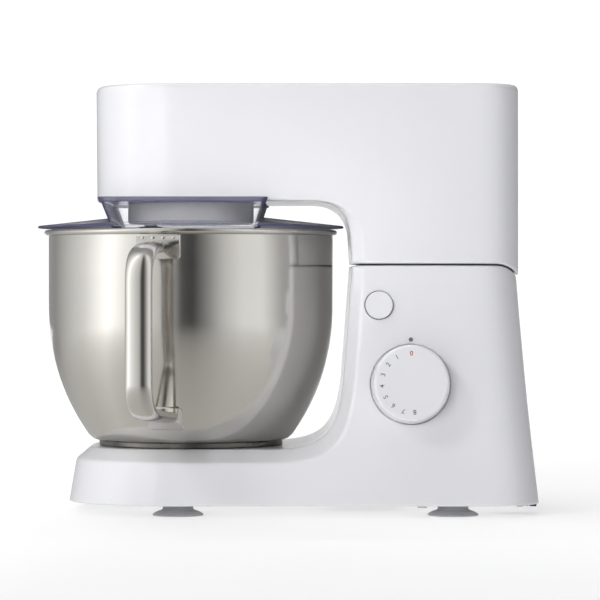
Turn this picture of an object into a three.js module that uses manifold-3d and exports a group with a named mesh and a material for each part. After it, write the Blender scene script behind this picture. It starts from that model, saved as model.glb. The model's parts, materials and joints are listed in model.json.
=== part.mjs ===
// Stand mixer with a tilting head, a planetary drive and a twist-lock steel bowl.
// Millimetres, +Z up. The pieces are drawn with X = 0 on the bowl's axis, +X towards
// the hinge and the controls facing -Y. The whole group is then moved so that its
// origin lies in the middle of its footprint.

import * as THREE from 'three';
import { mergeVertices } from 'three/addons/utils/BufferGeometryUtils.js';
import Module from 'manifold-3d';

const wasm = await Module();
wasm.setup();

// ---------------------------------------------------------------- driving dimensions

const GAP = 0.3; // clearance between neighbouring pieces
const WALL = 3; // moulded shells

// Tilt hinge and the parting line between the head and the stand.
const PIVOT_X = 224;
const PIVOT_Z = 160;
const STAND_TOP = 181.6;
const LEG_BOTTOM = 182.8;

// Stand: a base that carries the bowl and a column that carries the head.
const STAND_BOTTOM = 8;
const BASE_TOP = 48;
const BASE_FRONT = -89.2;
const FRONT_LEAN = 0.165;
const REAR_LOW = 256.2;
const REAR_HIGH = 240;
const HALF_LOW = 93;
const HALF_HIGH = 77.6;
const BASE_FRONT_RADIUS = 70;
const STAND_REAR_RADIUS = 35;

// Bevel along the inner edge of the stand and the head.
const BEVEL_Y = 72;
const BEVEL_LOW = 39.2;
const BEVEL_FRONT = 10.2;
const FLARE_Y = 98;

// Inner edge of the column, from the base to the parting line.
const COLUMN_START = 66;
const COLUMN_BEND_X = 113.4;
const COLUMN_BEND_Z = 100;
const COLUMN_EDGE = 119.6;

// Head.
const HEAD_FRONT = -69.5;
const HEAD_REAR = 242;
const HEAD_HALF = 77.2;
const HEAD_TOP = 314;
const HEAD_UNDERSIDE = 228.4;
const NOSE_RADIUS = 58;
const HEAD_REAR_RADIUS = 32;
const COVER_HALF = 64;

// Bowl.
const BOWL_RADIUS = 106.3;
const BOWL_WALL = 1.2;
const BOWL_RIM_Z = 207.5;
const BOWL_CURVE_Z = 150;
const BOWL_CURVE_RADIUS = 161.7;
const BOWL_FLOOR = 54;
const HANDLE_ANGLE = 10.6;

// Drive. The gears share one module, and the planet runs inside a fixed ring.
const GEAR_MODULE = 2;
const RING_TEETH = 42;
const PLANET_TEETH = 12;
const CARRIER_TEETH = 48;
const PINION_TEETH = 12;
const PRESSURE = THREE.MathUtils.degToRad(25);
const PLANET_OFFSET = (GEAR_MODULE * (RING_TEETH - PLANET_TEETH)) / 2;
const PULLEY_X = (GEAR_MODULE * (CARRIER_TEETH + PINION_TEETH)) / 2;
const MOTOR_X = 178;
const HUB_RADIUS = 47;
const DRIVEN_PULLEY = 45;
const DRIVE_PULLEY = 9;

// Controls on the stand's side.
const DIAL_X = 161.5;
const DIAL_Z = 95.6;
const DIAL_RADIUS = 28.7;
const DIAL_HEIGHT = 22;
const BUTTON_X = 138.9;
const BUTTON_Z = 152.7;
const BUTTON_RADIUS = 10;

// Feet and the screws of the bottom cover.
const FEET = [
  [-7, -68],
  [-7, 68],
  [193, -68],
  [193, 68],
];
const SCREWS = [
  [-50, -40],
  [-50, 40],
  [170, -82],
  [170, 82],
];
const GLAND_Y = -50;
const GLAND_Z = 9.6;

const DEGREE = Math.PI / 180;

// ------------------------------------------------------------------------- finishes

function finish(color, roughness, metalness = 0) {
  return new THREE.MeshStandardMaterial({ color, roughness, metalness });
}

const whitePlastic = finish(0xe9e9ee, 0.28);
const clearPlastic = finish(0xa9acd0, 0.12);
clearPlastic.transparent = true;
clearPlastic.opacity = 0.45;
const blackPlastic = finish(0x1d1d20, 0.5);
const greyRubber = finish(0x8b8d90, 0.7);
const blackRubber = finish(0x151516, 0.75);
const polishedSteel = finish(0xc9c6c0, 0.12, 1);
const machinedSteel = finish(0x9a9b9d, 0.35, 1);
const castAlloy = finish(0xa8aaad, 0.5, 1);
const laminations = finish(0x5c5f63, 0.55, 1);
const copper = finish(0xb5653a, 0.4, 1);
const circuitBoard = finish(0x1f5a38, 0.5);

// ------------------------------------------------------------------- shape functions

function signedVolume(points, faces) {
  const [a, b, c] = [new THREE.Vector3(), new THREE.Vector3(), new THREE.Vector3()];
  let total = 0;
  for (let i = 0; i < faces.length; i += 3) {
    a.fromArray(points, 3 * faces[i]);
    b.fromArray(points, 3 * faces[i + 1]);
    c.fromArray(points, 3 * faces[i + 2]);
    total += a.dot(b.cross(c));
  }
  return total / 6;
}

// Turns a closed geometry into a solid that can be joined and cut.
function solid(geometry) {
  geometry.deleteAttribute('normal');
  geometry.deleteAttribute('uv');
  const merged = mergeVertices(geometry, 1e-4);
  const points = merged.attributes.position.array;
  const faces = [];
  for (let i = 0; i < merged.index.count; i += 3) {
    const [a, b, c] = [0, 1, 2].map((corner) => merged.index.getX(i + corner));
    if (a !== b && b !== c && c !== a) faces.push(a, b, c);
  }
  if (signedVolume(points, faces) < 0) faces.reverse();
  const triVerts = Uint32Array.from(faces);
  return new wasm.Manifold(new wasm.Mesh({ numProp: 3, vertProperties: Float32Array.from(points), triVerts }));
}

function join(...pieces) {
  return pieces.reduce((sum, piece) => sum.add(piece));
}

function cut(piece, ...cutters) {
  return cutters.reduce((rest, cutter) => rest.subtract(cutter), piece);
}

function block(x0, x1, y0, y1, z0, z1) {
  const box = new THREE.BoxGeometry(x1 - x0, y1 - y0, z1 - z0);
  return solid(box.translate((x0 + x1) / 2, (y0 + y1) / 2, (z0 + z1) / 2));
}

function rod(radius, z0, z1, x = 0, y = 0, sides = 14) {
  const cylinder = new THREE.CylinderGeometry(radius, radius, z1 - z0, sides);
  return solid(cylinder.rotateX(Math.PI / 2).translate(x, y, (z0 + z1) / 2));
}

function rodAlongY(radius, y0, y1, x, z, sides = 18) {
  const cylinder = new THREE.CylinderGeometry(radius, radius, y1 - y0, sides);
  return solid(cylinder.translate(x, (y0 + y1) / 2, z));
}

function rodAlongX(radius, x0, x1, y, z, sides = 12) {
  const cylinder = new THREE.CylinderGeometry(radius, radius, x1 - x0, sides);
  return solid(cylinder.rotateZ(Math.PI / 2).translate((x0 + x1) / 2, y, z));
}

function toVectors(points) {
  return points.map(([x, y]) => new THREE.Vector2(x, y));
}

function extrusion(outline, depth, holes) {
  const shape = new THREE.Shape(toVectors(outline));
  shape.holes = holes.map((hole) => new THREE.Path(toVectors(hole)));
  return new THREE.ExtrudeGeometry(shape, { depth, bevelEnabled: false, steps: 1 });
}

// Extrudes an outline drawn in X and Y upwards.
function plate(outline, z0, z1, holes = []) {
  return solid(extrusion(outline, z1 - z0, holes).translate(0, 0, z0));
}

// Extrudes an outline drawn in X and Z along Y.
function plateAlongY(outline, y0, y1, holes = []) {
  return solid(extrusion(outline, y1 - y0, holes).rotateX(Math.PI / 2).translate(0, y1, 0));
}

// Spins a closed profile of radius and height about the Z axis.
function turned(profile, sides = 32) {
  const lathe = new THREE.LatheGeometry(toVectors(profile), sides);
  return solid(lathe.rotateX(Math.PI / 2));
}

function ringProfile(inner, outer, z0, z1) {
  return [
    [inner, z0],
    [outer, z0],
    [outer, z1],
    [inner, z1],
    [inner, z0],
  ];
}

function arc(x, y, radius, fromDegrees, toDegrees, steps) {
  return Array.from({ length: steps + 1 }, (_, i) => {
    const angle = DEGREE * THREE.MathUtils.lerp(fromDegrees, toDegrees, i / steps);
    return [x + radius * Math.cos(angle), y + radius * Math.sin(angle)];
  });
}

function circle(x, y, radius, sides = 14) {
  return arc(x, y, radius, 0, 360, sides).slice(0, -1);
}

function sector(inner, outer, middle, spread, steps = 6) {
  const outside = arc(0, 0, outer, middle - spread / 2, middle + spread / 2, steps);
  const inside = arc(0, 0, inner, middle + spread / 2, middle - spread / 2, steps);
  return [...outside, ...inside];
}

// Triangles that fill an outline, turning the same way as the outline itself.
function capFaces(outline) {
  const faces = THREE.ShapeUtils.triangulateShape(outline, []);
  const turn = THREE.ShapeUtils.area(faces[0].map((i) => outline[i]));
  return turn * THREE.ShapeUtils.area(outline) > 0 ? faces : faces.map((face) => face.toReversed());
}

// Joins rings that have equal numbers of points. The end caps are flat outlines,
// and their two drawing axes are given by index.
function loft(rings, [across, up] = [0, 1]) {
  const count = rings[0].length;
  const faces = [];
  for (let level = 0; level + 1 < rings.length; level += 1) {
    for (let i = 0; i < count; i += 1) {
      const [a, b] = [level * count + i, level * count + ((i + 1) % count)];
      faces.push(a, b, b + count, a, b + count, a + count);
    }
  }
  const last = (rings.length - 1) * count;
  const capOf = (ring) => capFaces(ring.map((point) => new THREE.Vector2(point[across], point[up])));
  capOf(rings[0]).forEach(([a, b, c]) => faces.push(c, b, a));
  capOf(rings[rings.length - 1]).forEach(([a, b, c]) => faces.push(last + a, last + b, last + c));
  const geometry = new THREE.BufferGeometry();
  geometry.setAttribute('position', new THREE.Float32BufferAttribute(rings.flat(2), 3));
  geometry.setIndex(faces);
  return solid(geometry);
}

// A level outline with round corners, which may be rounder at the front than at the rear.
function planRing({ front, rear, half, frontRadius, rearRadius, steps = 6 }) {
  return [
    ...arc(rear - rearRadius, half - rearRadius, rearRadius, 0, 90, steps),
    ...arc(front + frontRadius, half - frontRadius, frontRadius, 90, 180, steps),
    ...arc(front + frontRadius, frontRadius - half, frontRadius, 180, 270, steps),
    ...arc(rear - rearRadius, rearRadius - half, rearRadius, 270, 360, steps),
  ];
}

function atHeight(ring, z) {
  return ring.map(([x, y]) => [x, y, z]);
}

// Moves an open path sideways, to its left, with mitred corners.
function offsetPath(points, distance) {
  const normal = ([x0, y0], [x1, y1]) => new THREE.Vector2(y0 - y1, x1 - x0).normalize();
  return points.map((point, i) => {
    const before = normal(points[Math.max(i - 1, 0)], points[Math.max(i, 1)]);
    const after = normal(points[Math.min(i, points.length - 2)], points[Math.min(i + 1, points.length - 1)]);
    const middle = before.clone().add(after).normalize();
    const reach = distance / middle.dot(before);
    return [point[0] + reach * middle.x, point[1] + reach * middle.y];
  });
}

function bezier(start, first, second, end, steps) {
  const curve = new THREE.CubicBezierCurve(...toVectors([start, first, second, end]));
  return curve.getPoints(steps).map((point) => [point.x, point.y]);
}

function addPiece(group, name, piece, material) {
  const { vertProperties, triVerts } = piece.getMesh();
  const geometry = new THREE.BufferGeometry();
  geometry.setAttribute('position', new THREE.Float32BufferAttribute(vertProperties, 3));
  geometry.setIndex(Array.from(triVerts));
  geometry.computeVertexNormals();
  const mesh = new THREE.Mesh(geometry, material);
  mesh.name = name;
  group.add(mesh);
  return mesh;
}

// ------------------------------------------------------------------------ stand form

function standRise(z) {
  return (z - STAND_BOTTOM) / (STAND_TOP - STAND_BOTTOM);
}

function standHalf(z) {
  const rise = standRise(z);
  return THREE.MathUtils.lerp(HALF_LOW, HALF_HIGH, rise) - 1.5 * rise * (1 - rise);
}

function standRear(z) {
  const rise = standRise(z);
  return THREE.MathUtils.lerp(REAR_LOW, REAR_HIGH, rise) - 4 * rise * (1 - rise);
}

function standRing(z, inset) {
  const ring = planRing({
    front: BASE_FRONT + FRONT_LEAN * (z - STAND_BOTTOM) + inset,
    rear: standRear(z) - inset,
    half: standHalf(z) - inset,
    frontRadius: BASE_FRONT_RADIUS - inset,
    rearRadius: STAND_REAR_RADIUS - inset,
  });
  return atHeight(ring, z);
}

// Inner edge of the column. The outer line is where its bevel meets the side face.
const columnInner = [
  ...bezier([COLUMN_START, BASE_TOP], [96, 50], [109.5, 56], [COLUMN_BEND_X, COLUMN_BEND_Z], 8),
  [COLUMN_EDGE, STAND_TOP],
];
const columnOuter = [
  ...bezier([COLUMN_START, BEVEL_LOW], [106, 41], [116, 50], [122, COLUMN_BEND_Z], 8),
  [COLUMN_EDGE + 8.2, STAND_TOP],
];

// The line above which the stand is cut away, moved into the stand by a wall.
function standCutPath(wall) {
  const line = [
    [-200, BASE_TOP],
    ...columnInner,
    ...arc(PIVOT_X, PIVOT_Z, STAND_TOP - PIVOT_Z, 90, 0, 8),
  ];
  return offsetPath(line, -wall);
}

function standCut(wall) {
  return plateAlongY([...standCutPath(wall), [300, PIVOT_Z], [300, 400], [-200, 400]], -150, 150);
}

// Cutter that bevels one inner edge: it widens from the inner line at BEVEL_Y to
// beyond the side face.
function flare(inner, outer, halfAt, side, wall, close) {
  const start = BEVEL_Y - 0.6 * wall;
  const near = offsetPath(inner, wall);
  const far = offsetPath(outer, wall).map(([x, z], i) => {
    const reach = (FLARE_Y - start) / (halfAt(outer[i][1]) - BEVEL_Y);
    return [near[i][0] + reach * (x - near[i][0]), near[i][1] + reach * (z - near[i][1])];
  });
  const nearRing = close(near).map(([x, z]) => [x, side * start, z]);
  const farRing = close(far).map(([x, z]) => [x, side * FLARE_Y, z]);
  return loft([nearRing, farRing], [0, 2]);
}

function standFlare(side, wall) {
  const close = (line) => {
    const [endX] = line[line.length - 1];
    return [...line, [endX, 230], [40, 230], [40, line[0][1]]];
  };
  return flare(columnInner, columnOuter, standHalf, side, -wall, close);
}

// The low part in front of the column, with a bevel all round its top.
function baseForm(wall, bottom) {
  const top = planRing({
    front: BASE_FRONT + FRONT_LEAN * (BASE_TOP - STAND_BOTTOM) + BEVEL_FRONT - 1.3 + wall,
    rear: 90,
    half: BEVEL_Y - 0.6 * wall,
    frontRadius: BASE_FRONT_RADIUS - 16,
    rearRadius: STAND_REAR_RADIUS,
  });
  const levels = [bottom, BEVEL_LOW - 0.5 * wall].map((z) => standRing(z, wall));
  return loft([...levels, atHeight(top, BASE_TOP - wall)]);
}

function standForm(wall, bottom) {
  const levels = [bottom, 40, 75, 110, 145, 200];
  const column = loft(levels.map((z) => standRing(z, wall)));
  const trimmed = cut(column, standCut(wall), standFlare(-1, wall), standFlare(1, wall));
  const front = block(-120, COLUMN_START + 0.5, -120, 120, -20, 120);
  const rear = block(COLUMN_START, 300, -120, 120, -20, 250);
  return join(trimmed.intersect(rear), baseForm(wall, bottom).intersect(front));
}

// ------------------------------------------------------------------- pieces of stand

// Slots for the two hinge arms, through the deck of the stand or the floor of the head.
function armSlots(x0, x1) {
  return [-49, 49].map((y) => block(x0, x1, y - 5, y + 5, 150, 200));
}

function screwBosses() {
  const bosses = SCREWS.map(([x, y]) => rod(5.5, 11.4 + GAP, BASE_TOP - 1, x, y, 10));
  return join(...bosses);
}

function makeStandShell(dialSpace) {
  const outer = standForm(0, STAND_BOTTOM);
  const recess = 64;
  const recessFloor = rod(recess + WALL, 40.5, BASE_TOP - 1, 0, 0, 32);
  const ledges = [-1, 1].map((side) => {
    const [inside, outside] = [62, 95].map((y) => side * y);
    return block(206, 236, Math.min(inside, outside), Math.max(inside, outside), 134, 140 - GAP);
  });
  const inside = join(screwBosses(), recessFloor, ...ledges).intersect(outer);
  const shell = join(cut(outer, standForm(WALL, -5)), inside);
  const strikeSlot = block(131, 153, -32, -25, 170, 190);
  const pilotHoles = SCREWS.map(([x, y]) => rod(1.8, 5, 24, x, y, 8));
  return cut(
    shell,
    rod(recess, 43.5, 60, 0, 0, 32),
    rodAlongY(BUTTON_RADIUS + 0.8, -95, -65, BUTTON_X, BUTTON_Z, 24),
    rodAlongX(6.9, 245, 265, GLAND_Y, GLAND_Z),
    rodAlongX(9.3, 240, 246, GLAND_Y, GLAND_Z),
    dialSpace,
    strikeSlot,
    ...armSlots(203, 236.5),
    ...pilotHoles,
  );
}

function makeBottomCover() {
  const outline = planRing({
    front: BASE_FRONT + WALL + GAP + 0.4,
    rear: REAR_LOW - WALL - GAP - 0.8,
    half: HALF_LOW - WALL - GAP - 0.6,
    frontRadius: BASE_FRONT_RADIUS - WALL - GAP,
    rearRadius: STAND_REAR_RADIUS - WALL - GAP,
  });
  const footHoles = FEET.map(([x, y]) => circle(x, y, 3.6, 10));
  const screwHoles = SCREWS.map(([x, y]) => circle(x, y, 2.1, 8));
  const vents = Array.from({ length: 6 }, (_, i) => block(105 + 9 * i, 109 + 9 * i, -30, 30, 5, 15));
  const cover = plate(outline, 8.4, 11.4, [...footHoles, ...screwHoles]);
  return cut(cover, rodAlongX(9.3, 224, 265, GLAND_Y, GLAND_Z), ...vents);
}

function makeFoot() {
  return turned(
    [
      [0, 2.6],
      [12, 1.8],
      [15.2, 0],
      [18.5, 0],
      [18.2, 1.2],
      [11.3, 4.4],
      [11.3, 8.1],
      [3.2, 8.1],
      [3.2, 11.9],
      [4.4, 12.2],
      [2.6, 15],
      [0, 15],
    ],
    16,
  );
}

function makeScrew() {
  return turned(
    [
      [0, 7],
      [1.2, 6.4],
      [3.4, 6.4],
      [3.4, 8.1],
      [1.5, 8.1],
      [1.5, 22],
      [0, 23],
    ],
    8,
  );
}

function makeBowlSeat() {
  const drum = turned(
    [
      [0, 43.8],
      [56, 43.8],
      [56, 53],
      [50, 53],
      [47, 48],
      [0, 48],
    ],
    32,
  );
  const flanges = [0, 120, 240].map((angle) => plate(sector(54, 61.2, angle, 36, 4), 51.4, 53));
  return join(drum, ...flanges);
}

function makeHingeBracket() {
  const ear = [
    ...arc(PIVOT_X, PIVOT_Z, 9.4, 0, 180, 8),
    [PIVOT_X - 14, 142],
    [PIVOT_X + 4, 142],
  ];
  const hole = circle(PIVOT_X, PIVOT_Z, 5 + GAP, 14);
  const ears = [
    [-60, -56],
    [56, 60],
  ].map(([y0, y1]) => plateAlongY(ear, y0, y1, [hole]));
  const foot = block(206, 224, -71, 71, 140, 144);
  return join(foot, ...ears);
}

function makeHingePin() {
  const pin = rodAlongY(5, -62, 62, PIVOT_X, PIVOT_Z, 14);
  return join(pin, rodAlongY(7, -63.2, -60 - GAP, PIVOT_X, PIVOT_Z, 14));
}

function makeHeatSink() {
  const back = block(150, 192, 43.6, 46, 70, 118);
  const fins = Array.from({ length: 6 }, (_, i) => block(150 + 8 * i, 152 + 8 * i, 45, 58, 70, 118));
  return join(back, ...fins);
}

function makeTerminalBlock() {
  const body = block(210, 234, -64, -44, 20, 34);
  const wells = [0, 1, 2].map((i) => rod(2, 26, 40, 214.5 + 7.5 * i, -54, 12));
  return cut(body, ...wells);
}

function makeCordGland() {
  const body = join(
    rodAlongX(6.5, 238, 255, GLAND_Y, GLAND_Z),
    rodAlongX(9, 241, 244.5, GLAND_Y, GLAND_Z),
    rodAlongX(5, 226, 239, GLAND_Y, GLAND_Z),
  );
  return cut(body, rodAlongX(3.4, 220, 260, GLAND_Y, GLAND_Z, 10));
}

function makeButtonGuide() {
  const tube = rodAlongY(13.5, -75.6, -60, BUTTON_X, BUTTON_Z, 20);
  const bore = rodAlongY(BUTTON_RADIUS + 0.5, -80, -63, BUTTON_X, BUTTON_Z, 20);
  const barWay = block(BUTTON_X - 4.5, BUTTON_X + 4.5, -70, -50, BUTTON_Z - 3, BUTTON_Z + 3);
  return cut(tube, bore, barWay);
}

function makeButtonSpring() {
  const sleeve = rodAlongY(8.5, -73.5, -63.5, BUTTON_X, BUTTON_Z, 16);
  return cut(sleeve, rodAlongY(6.5, -80, -50, BUTTON_X, BUTTON_Z, 16));
}

// --------------------------------------------------------------------------- controls

function makeDialCap() {
  const foot = 0.8;
  return turned(
    [
      [3 + GAP, foot + 0.4],
      [6.5, foot + 0.4],
      [6.5, DIAL_HEIGHT - 3],
      [25.5, DIAL_HEIGHT - 3],
      [26.5, foot],
      [DIAL_RADIUS, foot],
      [DIAL_RADIUS, 2],
      [DIAL_RADIUS - 1.2, DIAL_HEIGHT - 2.5],
      [DIAL_RADIUS - 2, DIAL_HEIGHT - 0.8],
      [DIAL_RADIUS - 3.6, DIAL_HEIGHT],
      [0, DIAL_HEIGHT],
      [0, DIAL_HEIGHT - 3],
      [3 + GAP, DIAL_HEIGHT - 3],
      [3 + GAP, foot + 0.4],
    ],
    28,
  );
}

function makeSpeedSwitch() {
  const body = block(-17, 17, -17, 17, -20, -5);
  const collar = rod(6, -6, -3.6, 0, 0, 20);
  return cut(join(body, collar), rod(3 + GAP, -16, 0, 0, 0, 20));
}

function makeReleaseButton() {
  const face = standHalf(BUTTON_Z) + 2.6;
  const cap = turned(
    [
      [0, face],
      [BUTTON_RADIUS - 1.4, face],
      [BUTTON_RADIUS - 0.4, face - 0.5],
      [BUTTON_RADIUS, face - 1.5],
      [BUTTON_RADIUS, 74],
      [0, 74],
    ],
    20,
  );
  return cap.rotate([90, 0, 0]).translate([BUTTON_X, 0, BUTTON_Z]);
}

function makeLatchBar() {
  const [left, right] = [BUTTON_X - 4, BUTTON_X + 4];
  const bar = block(left, right, -74 + GAP, -18, BUTTON_Z - 2.5, BUTTON_Z + 2.5);
  const riser = block(left, right, -22, -18, BUTTON_Z, 174);
  const tongue = block(left + 1, right - 1, -27 + 0.4, -20, 168, 172);
  return join(bar, riser, tongue);
}

function makeStrikePlate() {
  const [left, right] = [BUTTON_X - 6, BUTTON_X + 6];
  const blade = block(left, right, -30, -27, 163, 187);
  const flange = block(left - 3, right + 3, -36, -21, 186.2, 188.4);
  const window = block(left + 1.5, right - 1.5, -40, -20, 166, 174);
  return cut(join(blade, flange), window);
}

// ------------------------------------------------------------------------------- bowl

function bowlRadius(z) {
  if (z >= BOWL_CURVE_Z) return BOWL_RADIUS;
  const drop = BOWL_CURVE_Z - z;
  return BOWL_RADIUS - BOWL_CURVE_RADIUS + Math.sqrt(BOWL_CURVE_RADIUS ** 2 - drop ** 2);
}

function bowlSide(inset) {
  return [56, 66, 80, 98, 120, BOWL_CURVE_Z].map((z) => [bowlRadius(z) - inset, z]);
}

function makeBowl() {
  const inner = bowlSide(BOWL_WALL).slice(1).reverse();
  const profile = [
    [0, BOWL_FLOOR],
    [61.5, BOWL_FLOOR],
    [63, 52],
    [69.5, 52],
    [73.7, 53.6],
    ...bowlSide(0),
    [BOWL_RADIUS, BOWL_RIM_Z - 2.4],
    [BOWL_RADIUS + 1.6, BOWL_RIM_Z - 2.9],
    [BOWL_RADIUS + 2.9, BOWL_RIM_Z - 2],
    [BOWL_RADIUS + 3.2, BOWL_RIM_Z - 0.5],
    [BOWL_RADIUS + 2.3, BOWL_RIM_Z + 0.8],
    [BOWL_RADIUS + 0.6, BOWL_RIM_Z + 1],
    [BOWL_RADIUS - BOWL_WALL, BOWL_RIM_Z],
    ...inner,
    [75, 58.2],
    [70, 55.6],
    [0, 55.6],
  ];
  return turned(profile, 32);
}

// The bowl's outer form, a little larger, to cut the pieces that are welded to it.
function bowlClearance() {
  return turned([[0, 40], [70, 40], [74 + GAP, 53], ...bowlSide(-GAP), [BOWL_RADIUS + GAP, 215], [0, 215]], 36);
}

function makeBowlFoot() {
  const ring = turned(ringProfile(63, 68.5, BASE_TOP + GAP, 52 - GAP), 36);
  const lugs = [0, 120, 240].map((angle) => plate(sector(57, 64, angle, 22, 3), 48.6, 51));
  return join(ring, ...lugs);
}

// Strap handle, drawn along +X and then turned to its place beside the bowl.
function makeBowlHandle() {
  const path = new THREE.CurvePath();
  const corner = (x0, z0, x1, z1, x2, z2) =>
    new THREE.QuadraticBezierCurve3(
      new THREE.Vector3(x0, 0, z0),
      new THREE.Vector3(x1, 0, z1),
      new THREE.Vector3(x2, 0, z2),
    );
  const line = (x0, z0, x1, z1) => new THREE.LineCurve3(new THREE.Vector3(x0, 0, z0), new THREE.Vector3(x1, 0, z1));
  path.add(line(100, 195.6, 140, 193.6));
  path.add(corner(140, 193.6, 167, 192, 167, 168));
  path.add(line(167, 168, 167, 98));
  path.add(corner(167, 98, 167, 78, 140, 75.6));
  path.add(line(140, 75.6, 80, 71));
  const section = [
    [4, -7],
    [4, 7],
    [1.5, 9.5],
    [-1.5, 9.5],
    [-3.5, 7],
    [-3.5, -7],
    [-1.5, -9.5],
    [1.5, -9.5],
  ];
  const points = path.curves.flatMap((curve, i) => {
    const steps = curve instanceof THREE.LineCurve3 ? 1 : 7;
    return curve.getPoints(steps).slice(i ? 1 : 0);
  });
  const rings = points.map((point, i) => {
    const ahead = points[Math.min(i + 1, points.length - 1)];
    const behind = points[Math.max(i - 1, 0)];
    const along = ahead.clone().sub(behind).normalize();
    return section.map(([out, side]) => [point.x - out * along.z, side, point.z + out * along.x]);
  });
  const strap = loft(rings, [1, 2]);
  const plates = [
    [14, 188.6, 204.2],
    [12, 64.5, 77.6],
  ].map(([half, low, high]) => block(70, 112, -half, half, low, high));
  const skin = turned([[0, 40], [75, 48], ...bowlSide(-GAP - 1.6), [BOWL_RADIUS + GAP + 1.6, 220], [0, 220]], 36);
  const handle = join(strap, ...plates.map((piece) => piece.intersect(skin)));
  return cut(handle.rotate([0, 0, -90 - HANDLE_ANGLE]), bowlClearance());
}

// ------------------------------------------------------------------------- head shell

const legInner = [
  ...bezier([91, HEAD_UNDERSIDE], [110, HEAD_UNDERSIDE], [117.4, 217], [118.4, 203], 6),
  [COLUMN_EDGE, LEG_BOTTOM],
];
const legOuter = [
  ...bezier([91, HEAD_UNDERSIDE], [113, HEAD_UNDERSIDE], [125.4, 218], [126.6, 203], 6),
  [COLUMN_EDGE + 8.2, LEG_BOTTOM],
];

function headCutPath(wall) {
  const line = [
    [-200, HEAD_UNDERSIDE],
    ...legInner,
    ...arc(PIVOT_X, PIVOT_Z, LEG_BOTTOM - PIVOT_Z, 90, 0, 8),
  ];
  return offsetPath(line, wall);
}

// Everything below the head, over a given width.
function headCut(wall, half = 150) {
  return plateAlongY([...headCutPath(wall), [300, PIVOT_Z], [300, 50], [-200, 50]], -half, half);
}

function headFlare(side, wall) {
  const close = (line) => {
    const [endX] = line[line.length - 1];
    return [...line, [endX, 120], [40, 120], [40, line[0][1]]];
  };
  return flare(legInner, legOuter, () => HEAD_HALF, side, wall, close);
}

function headRing(z, inset) {
  const lean = 0.008 * (HEAD_TOP - z);
  const ring = planRing({
    front: HEAD_FRONT + lean + inset,
    rear: HEAD_REAR - inset,
    half: HEAD_HALF - inset,
    frontRadius: NOSE_RADIUS - inset,
    rearRadius: HEAD_REAR_RADIUS - inset,
  });
  return atHeight(ring, z);
}

function headForm(wall) {
  const edge = wall ? [[HEAD_TOP - wall, wall]] : [[HEAD_TOP - 4, 0], [HEAD_TOP - 1.2, 1.2], [HEAD_TOP, 4]];
  const levels = [[PIVOT_Z, wall], ...edge].map(([z, inset]) => headRing(z, inset));
  return cut(loft(levels), headCut(wall), headFlare(-1, wall), headFlare(1, wall));
}

// The opening that the lower cover fills, from the nose to just before the hinge.
function coverSpace(wall, margin) {
  const width = COVER_HALF + margin;
  const span = block(-48 - margin, 218 + margin, -width, width, 170, 250);
  return headCut(wall).intersect(span);
}

function makeHeadShell() {
  const shell = cut(headForm(0), headForm(WALL));
  const vents = Array.from({ length: 7 }, (_, i) => block(230, 250, -33 + 10 * i, -27 + 10 * i, 196, 216));
  return cut(shell, coverSpace(WALL + 0.2, GAP), ...armSlots(196, 228), ...vents);
}

function makeLowerCover() {
  const panel = cut(coverSpace(WALL, 0), headCut(0));
  const strikeHole = block(BUTTON_X - 7, BUTTON_X + 7, -31, -26, 175, 200);
  return cut(panel, rod(50, 220, 240, 0, 0, 32), strikeHole, ...armSlots(196, 228));
}

// ----------------------------------------------------------------------- splash guard

function hopperForm(inset, z0, z1) {
  const ring = (share, z) => {
    const outline = planRing({
      front: THREE.MathUtils.lerp(-57.4, -63.3, share) + inset,
      rear: THREE.MathUtils.lerp(50.8, 57.3, share) - inset,
      half: THREE.MathUtils.lerp(88, 96, share) - inset,
      frontRadius: 10 - inset,
      rearRadius: 10 - inset,
      steps: 4,
    });
    return atHeight(outline, z);
  };
  const share = (z) => (z - 211) / 20;
  return loft([ring(share(z0), z0), ring(share(z1), z1)]);
}

function makeSplashGuard() {
  const skirt = turned(
    [
      [40, 217],
      [113.2, 209.6],
      [114.4, 210.2],
      [114.4, 211.4],
      [40, 219.6],
      [40, 217],
    ],
    36,
  );
  const lip = hopperForm(-1.4, 229.4, 231);
  const walls = join(hopperForm(0, 209.4, 231), lip);
  const underHead = block(-90, 90, -HEAD_HALF - 1.4, HEAD_HALF + 1.4, HEAD_UNDERSIDE - 1, 260);
  const outside = rod(114.4, 200, 240, 0, 0, 32);
  const guard = cut(join(skirt, walls), hopperForm(2, 205, 235), underHead).intersect(outside);
  return cut(guard, block(-120, 120, -120, 120, 195, 209.4));
}

// ------------------------------------------------------------------------------ gears

function involute(angle) {
  return Math.tan(angle) - angle;
}

// Outline of a toothed wheel between two radii. Positive play thins the teeth.
function toothedOutline(teeth, low, high, play) {
  const pitch = (GEAR_MODULE * teeth) / 2;
  const base = pitch * Math.cos(PRESSURE);
  const halfTooth = (radius) => {
    const pressure = Math.acos(Math.min(base / radius, 1));
    return Math.PI / (2 * teeth) - play / (2 * pitch) + involute(PRESSURE) - involute(pressure);
  };
  const heights = [0, 0.5, 1].map((share) => THREE.MathUtils.lerp(Math.max(low, base), high, share));
  const radii = low < base ? [low, ...heights] : heights;
  return Array.from({ length: teeth }, (_, tooth) => {
    const middle = (2 * Math.PI * tooth) / teeth;
    const at = (radius, side) => {
      const angle = middle + side * halfTooth(Math.max(radius, base));
      return [radius * Math.cos(angle), radius * Math.sin(angle)];
    };
    return [...radii.map((radius) => at(radius, -1)), ...radii.toReversed().map((radius) => at(radius, 1))];
  }).flat();
}

const ADDENDUM = 0.8 * GEAR_MODULE;
const DEDENDUM = GEAR_MODULE;
const BACKLASH = 0.25;

function makeWheel(teeth, z0, z1, bore) {
  const pitch = (GEAR_MODULE * teeth) / 2;
  const outline = toothedOutline(teeth, pitch - DEDENDUM, pitch + ADDENDUM, BACKLASH);
  return plate(outline, z0, z1, [circle(0, 0, bore)]);
}

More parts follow.
